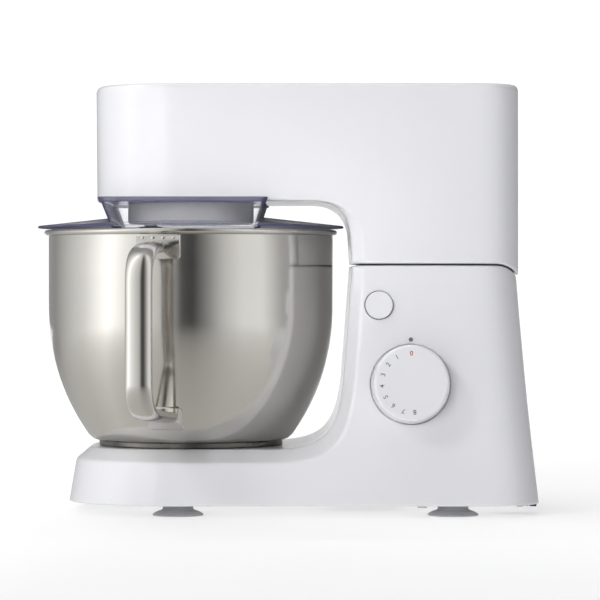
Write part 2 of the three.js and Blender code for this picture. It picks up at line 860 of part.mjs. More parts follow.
function makeRingGear() {
  const pitch = (GEAR_MODULE * RING_TEETH) / 2;
  const space = toothedOutline(RING_TEETH, pitch - ADDENDUM, pitch + DEDENDUM, -BACKLASH);
  return plate(circle(0, 0, 51, 32), 232, 242, [space]);
}

// ----------------------------------------------------------------------------- gearbox

function makeHeadFrame() {
  const outline = planRing({ front: -58, rear: 230, half: 62, frontRadius: 46, rearRadius: 20 });
  const motorWell = [
    [132, -44],
    [222, -44],
    [222, 44],
    [132, 44],
  ];
  const holes = [motorWell, circle(0, 0, 22, 18), circle(PULLEY_X, 0, 11, 14)];
  const frame = plate(outline, 243.5, 249.5, holes);
  const rim = cut(
    plate(outline, 247, 254),
    plate(planRing({ front: -55, rear: 227, half: 59, frontRadius: 43, rearRadius: 17 }), 240, 260),
  );
  const bracketSpace = block(155, 201, -70, 70, 249.5, 260);
  return cut(join(frame, rim), bracketSpace);
}

function makeGearCover() {
  const outline = planRing({ front: -44, rear: 84, half: 58, frontRadius: 38, rearRadius: 10 });
  const lid = plate(outline, 272, 276, [circle(0, 0, 6 + GAP), circle(PULLEY_X, 0, 4 + GAP)]);
  const posts = [
    [-34, -44],
    [-34, 44],
    [76, -50],
    [76, 50],
  ].map(([x, y]) => rod(4, 249.5 + GAP, 273, x, y, 12));
  return join(lid, ...posts);
}

function makeHingeArm() {
  const outline = [
    ...arc(PIVOT_X, PIVOT_Z, 9, -155, 15, 8),
    [223, 182],
    [219, 196],
    [224, 214],
    [224, 243.2],
    [191, 243.2],
    [191, 212],
    [196, 200],
  ];
  return plateAlongY(outline, -4, 4, [circle(PIVOT_X, PIVOT_Z, 5 + GAP, 14)]);
}

function makePlanetCarrier() {
  const drum = turned(
    [
      [0, 213],
      [HUB_RADIUS - 2, 213],
      [HUB_RADIUS, 215],
      [HUB_RADIUS, 227],
      [HUB_RADIUS - 2, 229],
      [12, 229],
      [12, 250],
      [0, 250],
    ],
    28,
  );
  return cut(drum, rod(6 + GAP, 222 - GAP, 260), rod(5 + GAP, 205, 235, -PLANET_OFFSET, 0));
}

function makeFlatBeater() {
  const rightSide = [
    [8.6, 190],
    [12, 176],
    [46, 170],
    ...arc(45, 152, 18, 80, 0, 4),
    [63, 104],
    [59, 88],
    [52, 72],
    [40, 60],
    [24, 56],
  ];
  const leftSide = rightSide.map(([x, z]) => [-x, z]).toReversed();
  const opening = [
    [5, 162],
    [44, 158],
    [52, 148],
    [52, 108],
    [44, 84],
    [33, 72],
    [5, 122],
  ];
  const lower = [
    [5, 104],
    [24, 68],
    [5, 66],
  ];
  const holes = [opening, lower].flatMap((hole) => [hole, hole.map(([x, z]) => [-x, z])]);
  const outline = plateAlongY([...rightSide, ...leftSide], -4, 4);
  const blade = cut(outline, ...holes.map((hole) => plateAlongY(hole, -6, 6)));
  const socket = rod(9, 182, 211);
  return cut(join(blade, socket), rod(5 + GAP, 190 - GAP, 220));
}

// ------------------------------------------------------------------------------- motor

function makeStator() {
  const opening = [
    ...arc(0, 0, 34, -51, 51, 10),
    ...arc(0, 0, 23.5, 55, 125, 6),
    ...arc(0, 0, 34, 129, 231, 10),
    ...arc(0, 0, 23.5, 235, 305, 6),
  ];
  return plate(planRing({ front: -42, rear: 42, half: 42, frontRadius: 8, rearRadius: 8, steps: 3 }), 216, 252, [
    opening,
  ]);
}

function makeFieldCoil() {
  return plate(sector(25, 33, 0, 96, 10), 210, 258);
}

function makeMotorBracketTop() {
  const bridge = block(-20, 20, -60, 60, 274, 278);
  const legs = [
    [-60, -54],
    [54, 60],
  ].map(([y0, y1]) => block(-20, 20, y0, y1, 249.5 + GAP, 276));
  const boss = rod(10, 270.5, 281);
  return cut(join(bridge, boss, ...legs), rod(4 + GAP, 260, 290));
}

function makeMotorBracketBottom() {
  const floor = join(block(-28, 28, -42, 42, 191, 195), block(-28, 8, -52, 52, 191, 195));
  const legs = [
    [-52, -46],
    [46, 52],
  ].map(([y0, y1]) => block(-28, 8, y0, y1, 192, 243.5 - GAP));
  const boss = rod(9, 190, 198);
  return cut(join(floor, boss, ...legs), rod(4 + GAP, 180, 200));
}

function makeCommutator() {
  const drum = turned(ringProfile(4 + GAP, 12, 200, 212), 14);
  const slots = Array.from({ length: 8 }, (_, i) => {
    return block(10.4, 14, -0.4, 0.4, 195, 215).rotate([0, 0, 45 * i + 11.25]);
  });
  return cut(drum, ...slots);
}

function makeArmature() {
  const core = turned(ringProfile(4 + GAP, 22, 214, 254), 20);
  const slots = Array.from({ length: 10 }, (_, i) => block(17, 24, -1.2, 1.2, 210, 260).rotate([0, 0, 36 * i + 9]));
  return cut(core, ...slots);
}

function makeFan() {
  const disc = turned(
    [
      [4 + GAP, 260],
      [34, 260],
      [34, 261.5],
      [9, 261.5],
      [9, 269.5],
      [4 + GAP, 269.5],
      [4 + GAP, 260],
    ],
    20,
  );
  const blades = Array.from({ length: 8 }, (_, i) => block(7, 33, -0.7, 0.7, 261, 269).rotate([0, 0, 45 * i]));
  return join(disc, ...blades);
}

function makePulley(radius, bore, z0, z1) {
  return turned(
    [
      [bore, z0],
      [radius + 2.4, z0],
      [radius + 2.4, z0 + 1],
      [radius, z0 + 1.3],
      [radius, z1 - 1.3],
      [radius + 2.4, z1 - 1],
      [radius + 2.4, z1],
      [bore, z1],
      [bore, z0],
    ],
    radius > 20 ? 28 : 14,
  );
}

// Outline of a taut loop round two wheels, the first at the origin.
function loopOutline(first, second, distance) {
  const tangent = Math.acos((first - second) / distance) / DEGREE;
  return [
    ...arc(0, 0, first, tangent, 360 - tangent, 24),
    ...arc(distance, 0, second, -tangent, tangent, 10),
  ];
}

function makeBelt() {
  const [inner, outer] = [GAP, GAP + 1.5].map((extra) => {
    return loopOutline(DRIVEN_PULLEY + extra, DRIVE_PULLEY + extra, MOTOR_X - PULLEY_X);
  });
  return plate(outer, 286.6, 295.4, [inner]);
}

// ----------------------------------------------------------------------------- assembly

function subGroup(parent, x = 0, y = 0, z = 0) {
  const group = new THREE.Group();
  group.position.set(x, y, z);
  parent.add(group);
  return group;
}

const mixer = new THREE.Group();

// The dial stands square to the leaning side wall, so its group leans with it.
const dialLean = Math.atan((standHalf(DIAL_Z - 20) - standHalf(DIAL_Z + 20)) / 40);
const dial = subGroup(mixer, DIAL_X, -standHalf(DIAL_Z), DIAL_Z);
dial.rotation.x = Math.PI / 2 - dialLean;

function addControls() {
  addPiece(dial, 'dial_cap', makeDialCap(), whitePlastic);
  addPiece(dial, 'dial_shaft', rod(3, -15, DIAL_HEIGHT - 3 - GAP), machinedSteel);
  addPiece(dial, 'speed_switch', makeSpeedSwitch(), blackPlastic);
  addPiece(mixer, 'release_button', makeReleaseButton(), whitePlastic);
  addPiece(mixer, 'latch_bar', makeLatchBar(), machinedSteel);
  addPiece(mixer, 'button_guide', makeButtonGuide(), blackPlastic);
  addPiece(mixer, 'button_spring', makeButtonSpring(), machinedSteel);
}

function addStand() {
  const stand = subGroup(mixer);
  const lean = 90 - dialLean / DEGREE;
  const dialSpace = rod(3.8, -8, 8).rotate([lean, 0, 0]).translate([DIAL_X, -standHalf(DIAL_Z), DIAL_Z]);
  addPiece(stand, 'stand_shell', makeStandShell(dialSpace), whitePlastic);
  addPiece(stand, 'bottom_cover', makeBottomCover(), whitePlastic);
  addPiece(stand, 'bowl_seat', makeBowlSeat(), castAlloy);
  addPiece(stand, 'hinge_bracket', makeHingeBracket(), castAlloy);
  addPiece(stand, 'hinge_pin', makeHingePin(), machinedSteel);
  addPiece(stand, 'control_board', block(140, 202, 41, 42.6, 62, 126), circuitBoard);
  addPiece(stand, 'heat_sink', makeHeatSink(), castAlloy);
  addPiece(stand, 'terminal_block', makeTerminalBlock(), blackPlastic);
  addPiece(stand, 'cord_gland', makeCordGland(), blackRubber);
  FEET.forEach(([x, y], i) => addPiece(stand, `foot_${i + 1}`, makeFoot(), greyRubber).position.set(x, y, 0));
  SCREWS.forEach(([x, y], i) => {
    addPiece(stand, `bottom_screw_${i + 1}`, makeScrew(), machinedSteel).position.set(x, y, 0);
  });
}

function addBowl() {
  const bowl = subGroup(mixer);
  addPiece(bowl, 'bowl_shell', makeBowl(), polishedSteel);
  addPiece(bowl, 'bowl_handle', makeBowlHandle(), polishedSteel);
  addPiece(bowl, 'bowl_foot', makeBowlFoot(), polishedSteel);
}

function addHead() {
  const head = subGroup(mixer);
  addPiece(head, 'head_shell', makeHeadShell(), whitePlastic);
  addPiece(head, 'head_lower_cover', makeLowerCover(), whitePlastic);
  addPiece(head, 'splash_guard', makeSplashGuard(), clearPlastic);
  addPiece(head, 'head_frame', makeHeadFrame(), castAlloy);
  addPiece(head, 'gear_cover', makeGearCover(), castAlloy);
  addPiece(head, 'ring_gear', makeRingGear(), machinedSteel);
  addPiece(head, 'strike_plate', makeStrikePlate(), machinedSteel);
  addPiece(head, 'carrier_bearing', turned(ringProfile(12 + GAP, 21.5 - GAP, 243.5, 249.5), 18), machinedSteel);
  const lowerBearing = turned(ringProfile(4 + GAP, 10.6 - GAP, 243.5, 249.5), 14);
  addPiece(head, 'pulley_bearing', lowerBearing, machinedSteel).position.set(PULLEY_X, 0, 0);
  addPiece(head, 'hinge_arm_left', makeHingeArm(), castAlloy).position.set(0, -49, 0);
  addPiece(head, 'hinge_arm_right', makeHingeArm(), castAlloy).position.set(0, 49, 0);
  addPiece(head, 'drive_belt', makeBelt(), blackRubber).position.set(PULLEY_X, 0, 0);
}

function addDrive() {
  const hub = subGroup(mixer);
  addPiece(hub, 'planet_carrier', makePlanetCarrier(), whitePlastic);
  addPiece(hub, 'carrier_shaft', rod(6, 222, 284), machinedSteel);
  addPiece(hub, 'carrier_gear', makeWheel(CARRIER_TEETH, 258, 268, 6 + GAP), machinedSteel);

  const beater = subGroup(mixer, -PLANET_OFFSET);
  addPiece(beater, 'planet_shaft', rod(5, 190, 242), machinedSteel);
  addPiece(beater, 'planet_pinion', makeWheel(PLANET_TEETH, 232, 241, 5 + GAP), machinedSteel);
  addPiece(beater, 'flat_beater', makeFlatBeater(), castAlloy);

  const pulley = subGroup(mixer, PULLEY_X);
  addPiece(pulley, 'driven_pulley', makePulley(DRIVEN_PULLEY, 4 + GAP, 285, 297), blackPlastic);
  addPiece(pulley, 'pulley_shaft', rod(4, 244, 300), machinedSteel);
  const pinion = addPiece(pulley, 'drive_pinion', makeWheel(PINION_TEETH, 256, 270, 4 + GAP), machinedSteel);
  pinion.rotation.z = Math.PI / PINION_TEETH;
}

function addMotor() {
  const motor = subGroup(mixer, MOTOR_X);
  addPiece(motor, 'motor_stator', makeStator(), laminations);
  addPiece(motor, 'field_coil_front', makeFieldCoil(), copper).rotation.z = Math.PI;
  addPiece(motor, 'field_coil_rear', makeFieldCoil(), copper);
  addPiece(motor, 'motor_bracket_top', makeMotorBracketTop(), castAlloy);
  addPiece(motor, 'motor_bracket_bottom', makeMotorBracketBottom(), castAlloy);
  addPiece(motor, 'brush_holder_left', block(-5, 5, -38, -12.6, 201, 209.5), blackPlastic);
  addPiece(motor, 'brush_holder_right', block(-5, 5, 12.6, 38, 201, 209.5), blackPlastic);
  addPiece(motor, 'armature', makeArmature(), laminations);
  addPiece(motor, 'motor_shaft', rod(4, 189.5, 300), machinedSteel);
  addPiece(motor, 'commutator', makeCommutator(), copper);
  addPiece(motor, 'motor_fan', makeFan(), blackPlastic);
  addPiece(motor, 'drive_pulley', makePulley(DRIVE_PULLEY, 4 + GAP, 285, 297), machinedSteel);
}

addStand();
addControls();
addBowl();
addHead();
addDrive();
addMotor();

// The origin is the middle of the footprint, on the surface that the feet rest on.
const bounds = new THREE.Box3().setFromObject(mixer, true);
mixer.position.set(-(bounds.min.x + bounds.max.x) / 2, -(bounds.min.y + bounds.max.y) / 2, -bounds.min.z);

export default mixer;
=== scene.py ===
"""Stand mixer with a tilting head, a twist-lock steel bowl and a clear splash guard.

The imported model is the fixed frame. This script makes the fine surfaces of the pieces
that show, dresses the pieces inside, and sets a plain studio round the mixer.
Shapes are drawn in millimetres on the maker's axes: X = 0 and Y = 0 on the bowl's
axis, +X towards the hinge, Z = 0 on the worktop. They are placed in metres at the end.
"""

from __future__ import annotations

import json
import logging
import math
from collections.abc import Callable, Iterable, Sequence
from dataclasses import dataclass, field
from enum import Enum
from typing import Any

import bmesh
import bpy
from mathutils import Matrix, Vector

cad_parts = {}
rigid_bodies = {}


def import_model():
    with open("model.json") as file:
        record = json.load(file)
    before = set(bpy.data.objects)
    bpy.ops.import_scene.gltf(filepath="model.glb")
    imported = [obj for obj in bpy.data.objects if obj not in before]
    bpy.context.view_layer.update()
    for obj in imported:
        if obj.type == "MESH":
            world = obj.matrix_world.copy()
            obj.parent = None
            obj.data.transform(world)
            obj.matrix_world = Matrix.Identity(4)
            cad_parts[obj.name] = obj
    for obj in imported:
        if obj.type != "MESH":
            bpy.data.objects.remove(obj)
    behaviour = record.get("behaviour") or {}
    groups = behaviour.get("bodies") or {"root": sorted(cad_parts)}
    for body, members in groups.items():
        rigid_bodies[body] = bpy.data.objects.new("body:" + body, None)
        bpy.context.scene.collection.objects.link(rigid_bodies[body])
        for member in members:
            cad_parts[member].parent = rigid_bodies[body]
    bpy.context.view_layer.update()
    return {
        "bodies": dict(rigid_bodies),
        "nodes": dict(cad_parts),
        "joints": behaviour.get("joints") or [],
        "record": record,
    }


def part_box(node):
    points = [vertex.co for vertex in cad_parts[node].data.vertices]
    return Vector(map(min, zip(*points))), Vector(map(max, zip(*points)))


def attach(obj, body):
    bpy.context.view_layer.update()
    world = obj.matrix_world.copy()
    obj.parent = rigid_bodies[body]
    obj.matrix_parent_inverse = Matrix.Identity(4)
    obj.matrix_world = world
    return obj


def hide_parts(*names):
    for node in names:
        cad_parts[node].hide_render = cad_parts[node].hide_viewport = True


log = logging.getLogger("stand_mixer")

Point = tuple[float, float]
Place = tuple[float, float, float]
Ring = list[Place]
Colour = tuple[float, float, float]

MILLIMETRE = 0.001
GAP = 0.3
# Spans that reach past the mixer on both sides, for cutters.
ACROSS = (-120.0, 120.0)
PAST_SIDES = (-150.0, 150.0)


# ---------------------------------------------------------------------------- shading


class Signal:
    """A shader socket that can be used in arithmetic."""

    def __init__(self, shader: Shader, socket: bpy.types.NodeSocket) -> None:
        """Wrap one output socket.

        Args:
            shader: the material being made, which owns the socket.
            socket: the output socket.
        """
        self.shader = shader
        self.socket = socket

    def _math(self, operation: str, first: Any, second: Any) -> Signal:
        """Add one Math node.

        Args:
            operation: the node's operation.
            first: a signal or a number.
            second: a signal or a number.

        Returns:
            The node's value.
        """
        node = self.shader.node("ShaderNodeMath", {"operation": operation}, {0: first, 1: second})
        return Signal(self.shader, node.outputs[0])

    def __add__(self, other: Any) -> Signal:
        """Sum of two values."""
        return self._math("ADD", self, other)

    __radd__ = __add__

    def __sub__(self, other: Any) -> Signal:
        """Difference of two values."""
        return self._math("SUBTRACT", self, other)

    def __rsub__(self, other: Any) -> Signal:
        """Difference with the number on the left."""
        return self._math("SUBTRACT", other, self)

    def __mul__(self, other: Any) -> Signal:
        """Product of two values."""
        return self._math("MULTIPLY", self, other)

    __rmul__ = __mul__

    def __pow__(self, power: Any) -> Signal:
        """This value raised to a power."""
        return self._math("POWER", self, power)

    def clipped(self, low: float, high: float) -> Signal:
        """Map the span from low to high onto 0 to 1, and hold it there.

        Args:
            low: the value that becomes 0.
            high: the value that becomes 1.

        Returns:
            The mapped value.
        """
        inputs = {0: self, 1: low, 2: high, 3: 0.0, 4: 1.0}
        node = self.shader.node("ShaderNodeMapRange", {"clamp": True}, inputs)
        return Signal(self.shader, node.outputs[0])


class Shader:
    """One procedural material under construction, round a single Principled shader."""

    def __init__(self, name: str) -> None:
        """Start an empty material.

        Args:
            name: the material's name.
        """
        self.material = bpy.data.materials.new(name)
        self.material.use_nodes = True
        self.tree = self.material.node_tree
        self.tree.nodes.clear()
        self.surface = self.node("ShaderNodeBsdfPrincipled")
        self.node("ShaderNodeOutputMaterial", None, {"Surface": Signal(self, self.surface.outputs[0])})

    def node(
        self, kind: str, settings: dict[str, Any] | None = None, inputs: dict[str | int, Any] | None = None
    ) -> bpy.types.Node:
        """Make one node of any type.

        Args:
            kind: the node's type.
            settings: its properties, set before its sockets. "stops" fills a colour ramp.
            inputs: values or signals, by socket name or number.

        Returns:
            The new node.
        """
        made = self.tree.nodes.new(kind)
        for key, value in (settings or {}).items():
            if key == "stops":
                self._fill_ramp(made.color_ramp, value)
            else:
                setattr(made, key, value)
        for key, value in (inputs or {}).items():
            self.set(made.inputs[key], value)
        return made

    @staticmethod
    def _fill_ramp(ramp: bpy.types.ColorRamp, stops: Sequence[tuple[float, Colour]]) -> None:
        """Set a ramp's stops.

        Args:
            ramp: the ramp, which starts with two stops.
            stops: place and colour of each stop, at least two.
        """
        while len(ramp.elements) < len(stops):
            ramp.elements.new(1.0)
        for element, (place, colour) in zip(ramp.elements, stops, strict=True):
            element.position = place
            element.color = (*colour, 1.0)

    def set(self, socket: bpy.types.NodeSocket, value: Any) -> None:
        """Link a signal to a socket, or set a plain value on it.

        Args:
            socket: the input socket.
            value: a signal, a number or a vector; a colour of three numbers gets alpha 1.
        """
        if isinstance(value, Signal):
            self.tree.links.new(value.socket, socket)
        elif socket.type == "RGBA" and len(value) == 3:
            socket.default_value = (*value, 1.0)
        else:
            socket.default_value = value

    def principled(self, **values: Any) -> None:
        """Set sockets of the Principled shader; an underscore in a name is a space."""
        for key, value in values.items():
            self.set(self.surface.inputs[key.replace("_", " ")], value)

    def place(self) -> Signal:
        """Coordinates in metres, fixed to the object."""
        return Signal(self, self.node("ShaderNodeTexCoord").outputs["Object"])

    def stretched(self, vector: Signal, scale: tuple[float, float, float]) -> Signal:
        """Coordinates scaled along each axis.

        Args:
            vector: the coordinates.
            scale: the factor for each axis.

        Returns:
            The scaled coordinates.
        """
        node = self.node("ShaderNodeVectorMath", {"operation": "MULTIPLY"}, {0: vector, 1: scale})
        return Signal(self, node.outputs[0])

    def noise(self, vector: Signal, scale: float, detail: float = 2.0) -> Signal:
        """Soft random pattern from 0 to 1.

        Args:
            vector: the coordinates.
            scale: features per metre.
            detail: number of finer layers.

        Returns:
            The pattern.
        """
        inputs = {"Vector": vector, "Scale": scale, "Detail": detail, "Roughness": 0.5}
        return Signal(self, self.node("ShaderNodeTexNoise", None, inputs).outputs[0])

    def cells(self, vector: Signal, scale: float) -> Signal:
        """Distance to the nearest of many scattered points.

        Args:
            vector: the coordinates.
            scale: points per metre.

        Returns:
            The distance, from 0 to about 1.
        """
        inputs = {"Vector": vector, "Scale": scale}
        return Signal(self, self.node("ShaderNodeTexVoronoi", None, inputs).outputs[0])

    def bands(self, vector: Signal, scale: float, direction: str) -> Signal:
        """Even bands from 0 to 1.

        Args:
            vector: the coordinates.
            scale: bands per metre, about.
            direction: X, Y or Z.

        Returns:
            The pattern.
        """
        settings = {"wave_type": "BANDS", "bands_direction": direction}
        inputs = {"Vector": vector, "Scale": scale, "Distortion": 0.0, "Detail": 0.0}
        return Signal(self, self.node("ShaderNodeTexWave", settings, inputs).outputs[1])

    def edges(self) -> Signal:
        """Mask that is 1 on worn outer edges and 0 elsewhere."""
        geometry = self.node("ShaderNodeNewGeometry")
        return Signal(self, geometry.outputs["Pointiness"]).clipped(0.52, 0.60)

    def blend(self, factor: Signal | float, first: Any, second: Any) -> Signal:
        """Mix two colours.

        Args:
            factor: 0 for the first colour, 1 for the second.
            first: a colour or a signal.
            second: a colour or a signal.

        Returns:
            The mixed colour.
        """
        node = self.node("ShaderNodeMix", {"data_type": "RGBA"}, {0: factor, 6: first, 7: second})
        return Signal(self, node.outputs[2])

    def relief(self, height: Signal, depth: float) -> Signal:
        """Normal raised by a height pattern.

        Args:
            height: the pattern, from 0 to 1.
            depth: its depth in metres.

        Returns:
            The normal.
        """
        node = self.node("ShaderNodeBump", None, {"Height": height, "Distance": depth, "Strength": 1.0})
        return Signal(self, node.outputs[0])


class Grain(Enum):
    """Fine relief that a process leaves on a surface."""

    MOULDED = "moulded"
    SANDED = "sanded"
    SPUN = "spun"
    TURNED = "turned"
    STACKED = "stacked"
    WOUND = "wound"
    PRINTED = "printed"


@dataclass(frozen=True)
class Finish:
    """A solid finish: two mixed colours, gloss, its spread, grain, edge wear and glow.

    The grain's depth is in metres.
    """

    name: str
    colour: Colour
    second: Colour
    roughness: float
    spread: float
    grain: Grain
    metallic: float = 0.0
    coat: float = 0.0
    depth: float = 0.00002
    edge: Colour | None = None
    edge_share: float = 0.5
    glow: float = 0.0

    def grain_height(self, shader: Shader) -> Signal:
        """Height pattern of this finish's grain.

        Args:
            shader: the material being made.

        Returns:
            The pattern, from 0 to 1.
        """
        place = shader.place()
        patterns: dict[Grain, Callable[[], Signal]] = {
            Grain.MOULDED: lambda: shader.noise(place, 420.0, 3.0),
            Grain.SANDED: lambda: (
                shader.noise(place, 1500.0, 4.0) * 0.7 + shader.cells(place, 1100.0) * 0.3
            ),
            Grain.SPUN: lambda: shader.noise(shader.stretched(place, (6.0, 6.0, 900.0)), 1.0, 3.0),
            Grain.TURNED: lambda: shader.noise(shader.stretched(place, (60.0, 60.0, 2200.0)), 1.0, 2.0),
            Grain.STACKED: lambda: shader.bands(place, 320.0, "Z"),
            Grain.WOUND: lambda: shader.bands(place, 260.0, "Z") * 0.8 + shader.noise(place, 800.0) * 0.2,
            Grain.PRINTED: lambda: (
                shader.cells(shader.stretched(place, (1.0, 0.4, 1.0)), 260.0).clipped(0.3, 0.4)
            ),
        }
        return patterns[self.grain]()

    def make(self) -> bpy.types.Material:
        """Build the material.

        Returns:
            The finished material.
        """
        shader = Shader(self.name)
        place = shader.place()
        cloud = shader.noise(place, 14.0, 3.0)
        smudge = shader.noise(place, 55.0, 4.0)
        height = self.grain_height(shader)
        colour = shader.blend(cloud.clipped(0.3, 0.7), self.colour, self.second)
        if self.grain in (Grain.STACKED, Grain.WOUND, Grain.PRINTED):
            colour = shader.blend(height * 0.55, colour, tuple(0.45 * part for part in self.colour))
        rough = self.roughness + (smudge - 0.5) * self.spread + (height - 0.5) * (0.4 * self.spread)
        if self.edge is not None:
            worn = shader.edges() * (self.edge_share * smudge.clipped(0.35, 0.6))
            colour = shader.blend(worn, colour, self.edge)
            rough = rough - worn * 0.08
        shader.principled(
            Base_Color=colour,
            Roughness=rough,
            Metallic=self.metallic,
            Coat_Weight=self.coat,
            Coat_Roughness=0.08,
            Normal=shader.relief(height, self.depth),
        )
        if self.glow:
            shader.principled(Emission_Color=(1.0, 1.0, 1.0), Emission_Strength=self.glow)
        return shader.material


@dataclass(frozen=True)
class ClearFinish:
    """Tinted see-through plastic, deeper in colour where it is seen edge on."""

    name: str
    face: Colour
    edge: Colour
    face_alpha: float
    edge_alpha: float

    def make(self) -> bpy.types.Material:
        """Build the material.

        Returns:
            The finished material.
        """
        shader = Shader(self.name)
        place = shader.place()
        weight = shader.node("ShaderNodeLayerWeight", None, {"Blend": 0.35})
        grazing = Signal(shader, weight.outputs["Facing"]) ** 1.6
        haze = shader.noise(place, 40.0, 3.0)
        colour = shader.blend(grazing, self.face, self.edge)
        alpha = self.face_alpha + grazing * (self.edge_alpha - self.face_alpha) + (haze - 0.5) * 0.06
        shader.principled(
            Base_Color=colour,
            Roughness=0.07 + haze * 0.05,
            Alpha=alpha,
            Specular_IOR_Level=0.0,
            Coat_Weight=0.1,
            Coat_Roughness=0.05,
            Normal=shader.relief(shader.noise(place, 180.0), 0.00001),
        )
        return shader.material


FINISHES = (
    Finish(
        "white_plastic",
        (0.80, 0.80, 0.83),
        (0.82, 0.82, 0.845),
        0.24,
        0.06,
        Grain.MOULDED,
        coat=0.35,
        depth=0.000008,
    ),
    Finish(
        "black_plastic",
        (0.03, 0.03, 0.033),
        (0.045, 0.045, 0.05),
        0.5,
        0.12,
        Grain.SANDED,
        depth=0.00003,
    ),
    Finish("grey_rubber", (0.36, 0.365, 0.375), (0.41, 0.415, 0.42), 0.5, 0.15, Grain.SANDED, depth=0.00002),
    Finish("black_rubber", (0.016, 0.016, 0.017), (0.024, 0.024, 0.025), 0.62, 0.15, Grain.SANDED),
    Finish(
        "polished_steel",
        (0.60, 0.585, 0.55),
        (0.64, 0.625, 0.59),
        0.14,
        0.05,
        Grain.SPUN,
        metallic=1.0,
        depth=0.000006,
        edge=(0.72, 0.71, 0.69),
    ),
    Finish(
        "machined_steel",
        (0.50, 0.50, 0.50),
        (0.58, 0.58, 0.585),
        0.32,
        0.12,
        Grain.TURNED,
        metallic=1.0,
        edge=(0.7, 0.7, 0.7),
    ),
    Finish(
        "cast_alloy",
        (0.56, 0.565, 0.57),
        (0.62, 0.625, 0.63),
        0.42,
        0.14,
        Grain.SANDED,
        metallic=1.0,
        depth=0.00006,
        edge=(0.75, 0.75, 0.76),
    ),
    Finish("laminations", (0.20, 0.21, 0.22), (0.27, 0.27, 0.275), 0.5, 0.12, Grain.STACKED, metallic=0.9),
    Finish(
        "copper",
        (0.48, 0.17, 0.07),
        (0.58, 0.24, 0.11),
        0.35,
        0.1,
        Grain.WOUND,
        metallic=0.9,
        coat=0.5,
        depth=0.0002,
    ),
    Finish("circuit_board", (0.02, 0.13, 0.05), (0.03, 0.17, 0.07), 0.4, 0.1, Grain.PRINTED, depth=0.00003),
    ClearFinish("clear_plastic", (0.52, 0.53, 0.66), (0.03, 0.028, 0.06), 0.07, 0.98),
    ClearFinish("clear_plastic_wall", (0.60, 0.61, 0.72), (0.30, 0.30, 0.42), 0.06, 0.55),
    ClearFinish("clear_plastic_edge", (0.11, 0.11, 0.20), (0.035, 0.03, 0.08), 0.80, 0.98),
    # A darkened copy of the polished steel: painted shade and painted dark reflection, for the bowl's foot
    # ring.
    Finish(
        "steel_painted_shade",
        (0.10, 0.095, 0.085),
        (0.13, 0.125, 0.11),
        0.3,
        0.08,
        Grain.TURNED,
        metallic=1.0,
        edge=(0.3, 0.3, 0.28),
    ),
    Finish("grey_ink", (0.13, 0.13, 0.14), (0.16, 0.16, 0.17), 0.5, 0.1, Grain.SANDED, depth=0.00001),
    Finish("red_ink", (0.36, 0.03, 0.035), (0.42, 0.045, 0.045), 0.5, 0.1, Grain.SANDED, depth=0.00001),
    Finish("studio_paper", (0.52, 0.52, 0.523), (0.54, 0.54, 0.543), 0.7, 0.1, Grain.SANDED, glow=0.5),
)


class Palette:
    """The finishes, each made once and shared."""

    def __init__(self) -> None:
        """Make every finish."""
        self.made = {finish.name: finish.make() for finish in FINISHES}

    def __getitem__(self, name: str) -> bpy.types.Material:
        """The material with that name."""
        return self.made[name]


# ---------------------------------------------------------------------------- drawing


def mixed(low: float, high: float, share: float) -> float:
    """Value a share of the way from low to high."""
    return low + (high - low) * share


def arc(x: float, y: float, radius: float, start: float, end: float, steps: int) -> list[Point]:
    """Points along an arc.

    Args:
        x: centre.
        y: centre.
        radius: the arc's radius.
        start: first angle in degrees.
        end: last angle in degrees.
        steps: number of steps between the two.

    Returns:
        The points, ends included.
    """
    angles = [math.radians(mixed(start, end, i / steps)) for i in range(steps + 1)]
    return [(x + radius * math.cos(a), y + radius * math.sin(a)) for a in angles]


def bezier(start: Point, first: Point, second: Point, end: Point, steps: int) -> list[Point]:
    """Points along a cubic curve.

    Args:
        start: the curve's start.
        first: the first control point.
        second: the second control point.
        end: the curve's end.
        steps: number of steps.

    Returns:
        The points, ends included.
    """
    corners = (start, first, second, end)

    def at(t: float) -> Point:
        """The curve's point at a parameter from 0 to 1."""
        weights = ((1 - t) ** 3, 3 * t * (1 - t) ** 2, 3 * t * t * (1 - t), t**3)
        return tuple(sum(w * c[axis] for w, c in zip(weights, corners, strict=True)) for axis in (0, 1))

    return [at(i / steps) for i in range(steps + 1)]


def offset_path(points: Sequence[Point], distance: float) -> list[Point]:
    """Move an open path sideways, to its left, with mitred corners.

    Args:
        points: the path.
        distance: how far to move it.

    Returns:
        The moved path.
    """

    def normal(a: Point, b: Point) -> Vector:
        """Unit vector to the left of the step from a to b."""
        return Vector((a[1] - b[1], b[0] - a[0])).normalized()

    moved = []
    last = len(points) - 1
    for i, point in enumerate(points):
        before = normal(points[max(i - 1, 0)], points[max(i, 1)])
        after = normal(points[min(i, last - 1)], points[min(i + 1, last)])
        middle = (before + after).normalized()
        reach = distance / middle.dot(before)
        moved.append((point[0] + reach * middle.x, point[1] + reach * middle.y))
    return moved


def plan_ring(
    front: float, rear: float, half: float, front_radius: float, rear_radius: float, steps: int = 20
) -> list[Point]:
    """Level outline with round corners.

    Args:
        front: lowest X.
        rear: highest X.
        half: half its width.
        front_radius: radius of the two corners at the front.
        rear_radius: radius of the two corners at the rear.
        steps: steps in each corner.

    Returns:
        The outline.
    """
    return [
        *arc(rear - rear_radius, half - rear_radius, rear_radius, 0, 90, steps),
        *arc(front + front_radius, half - front_radius, front_radius, 90, 180, steps),
        *arc(front + front_radius, front_radius - half, front_radius, 180, 270, steps),
        *arc(rear - rear_radius, rear_radius - half, rear_radius, 270, 360, steps),
    ]


def level(points: Iterable[Point], z: float) -> Ring:
    """The outline's points at one height."""
    return [(x, y, z) for x, y in points]


def upright(points: Iterable[Point], y: float) -> Ring:
    """Points drawn in X and Z, at one Y."""
    return [(x, y, z) for x, z in points]


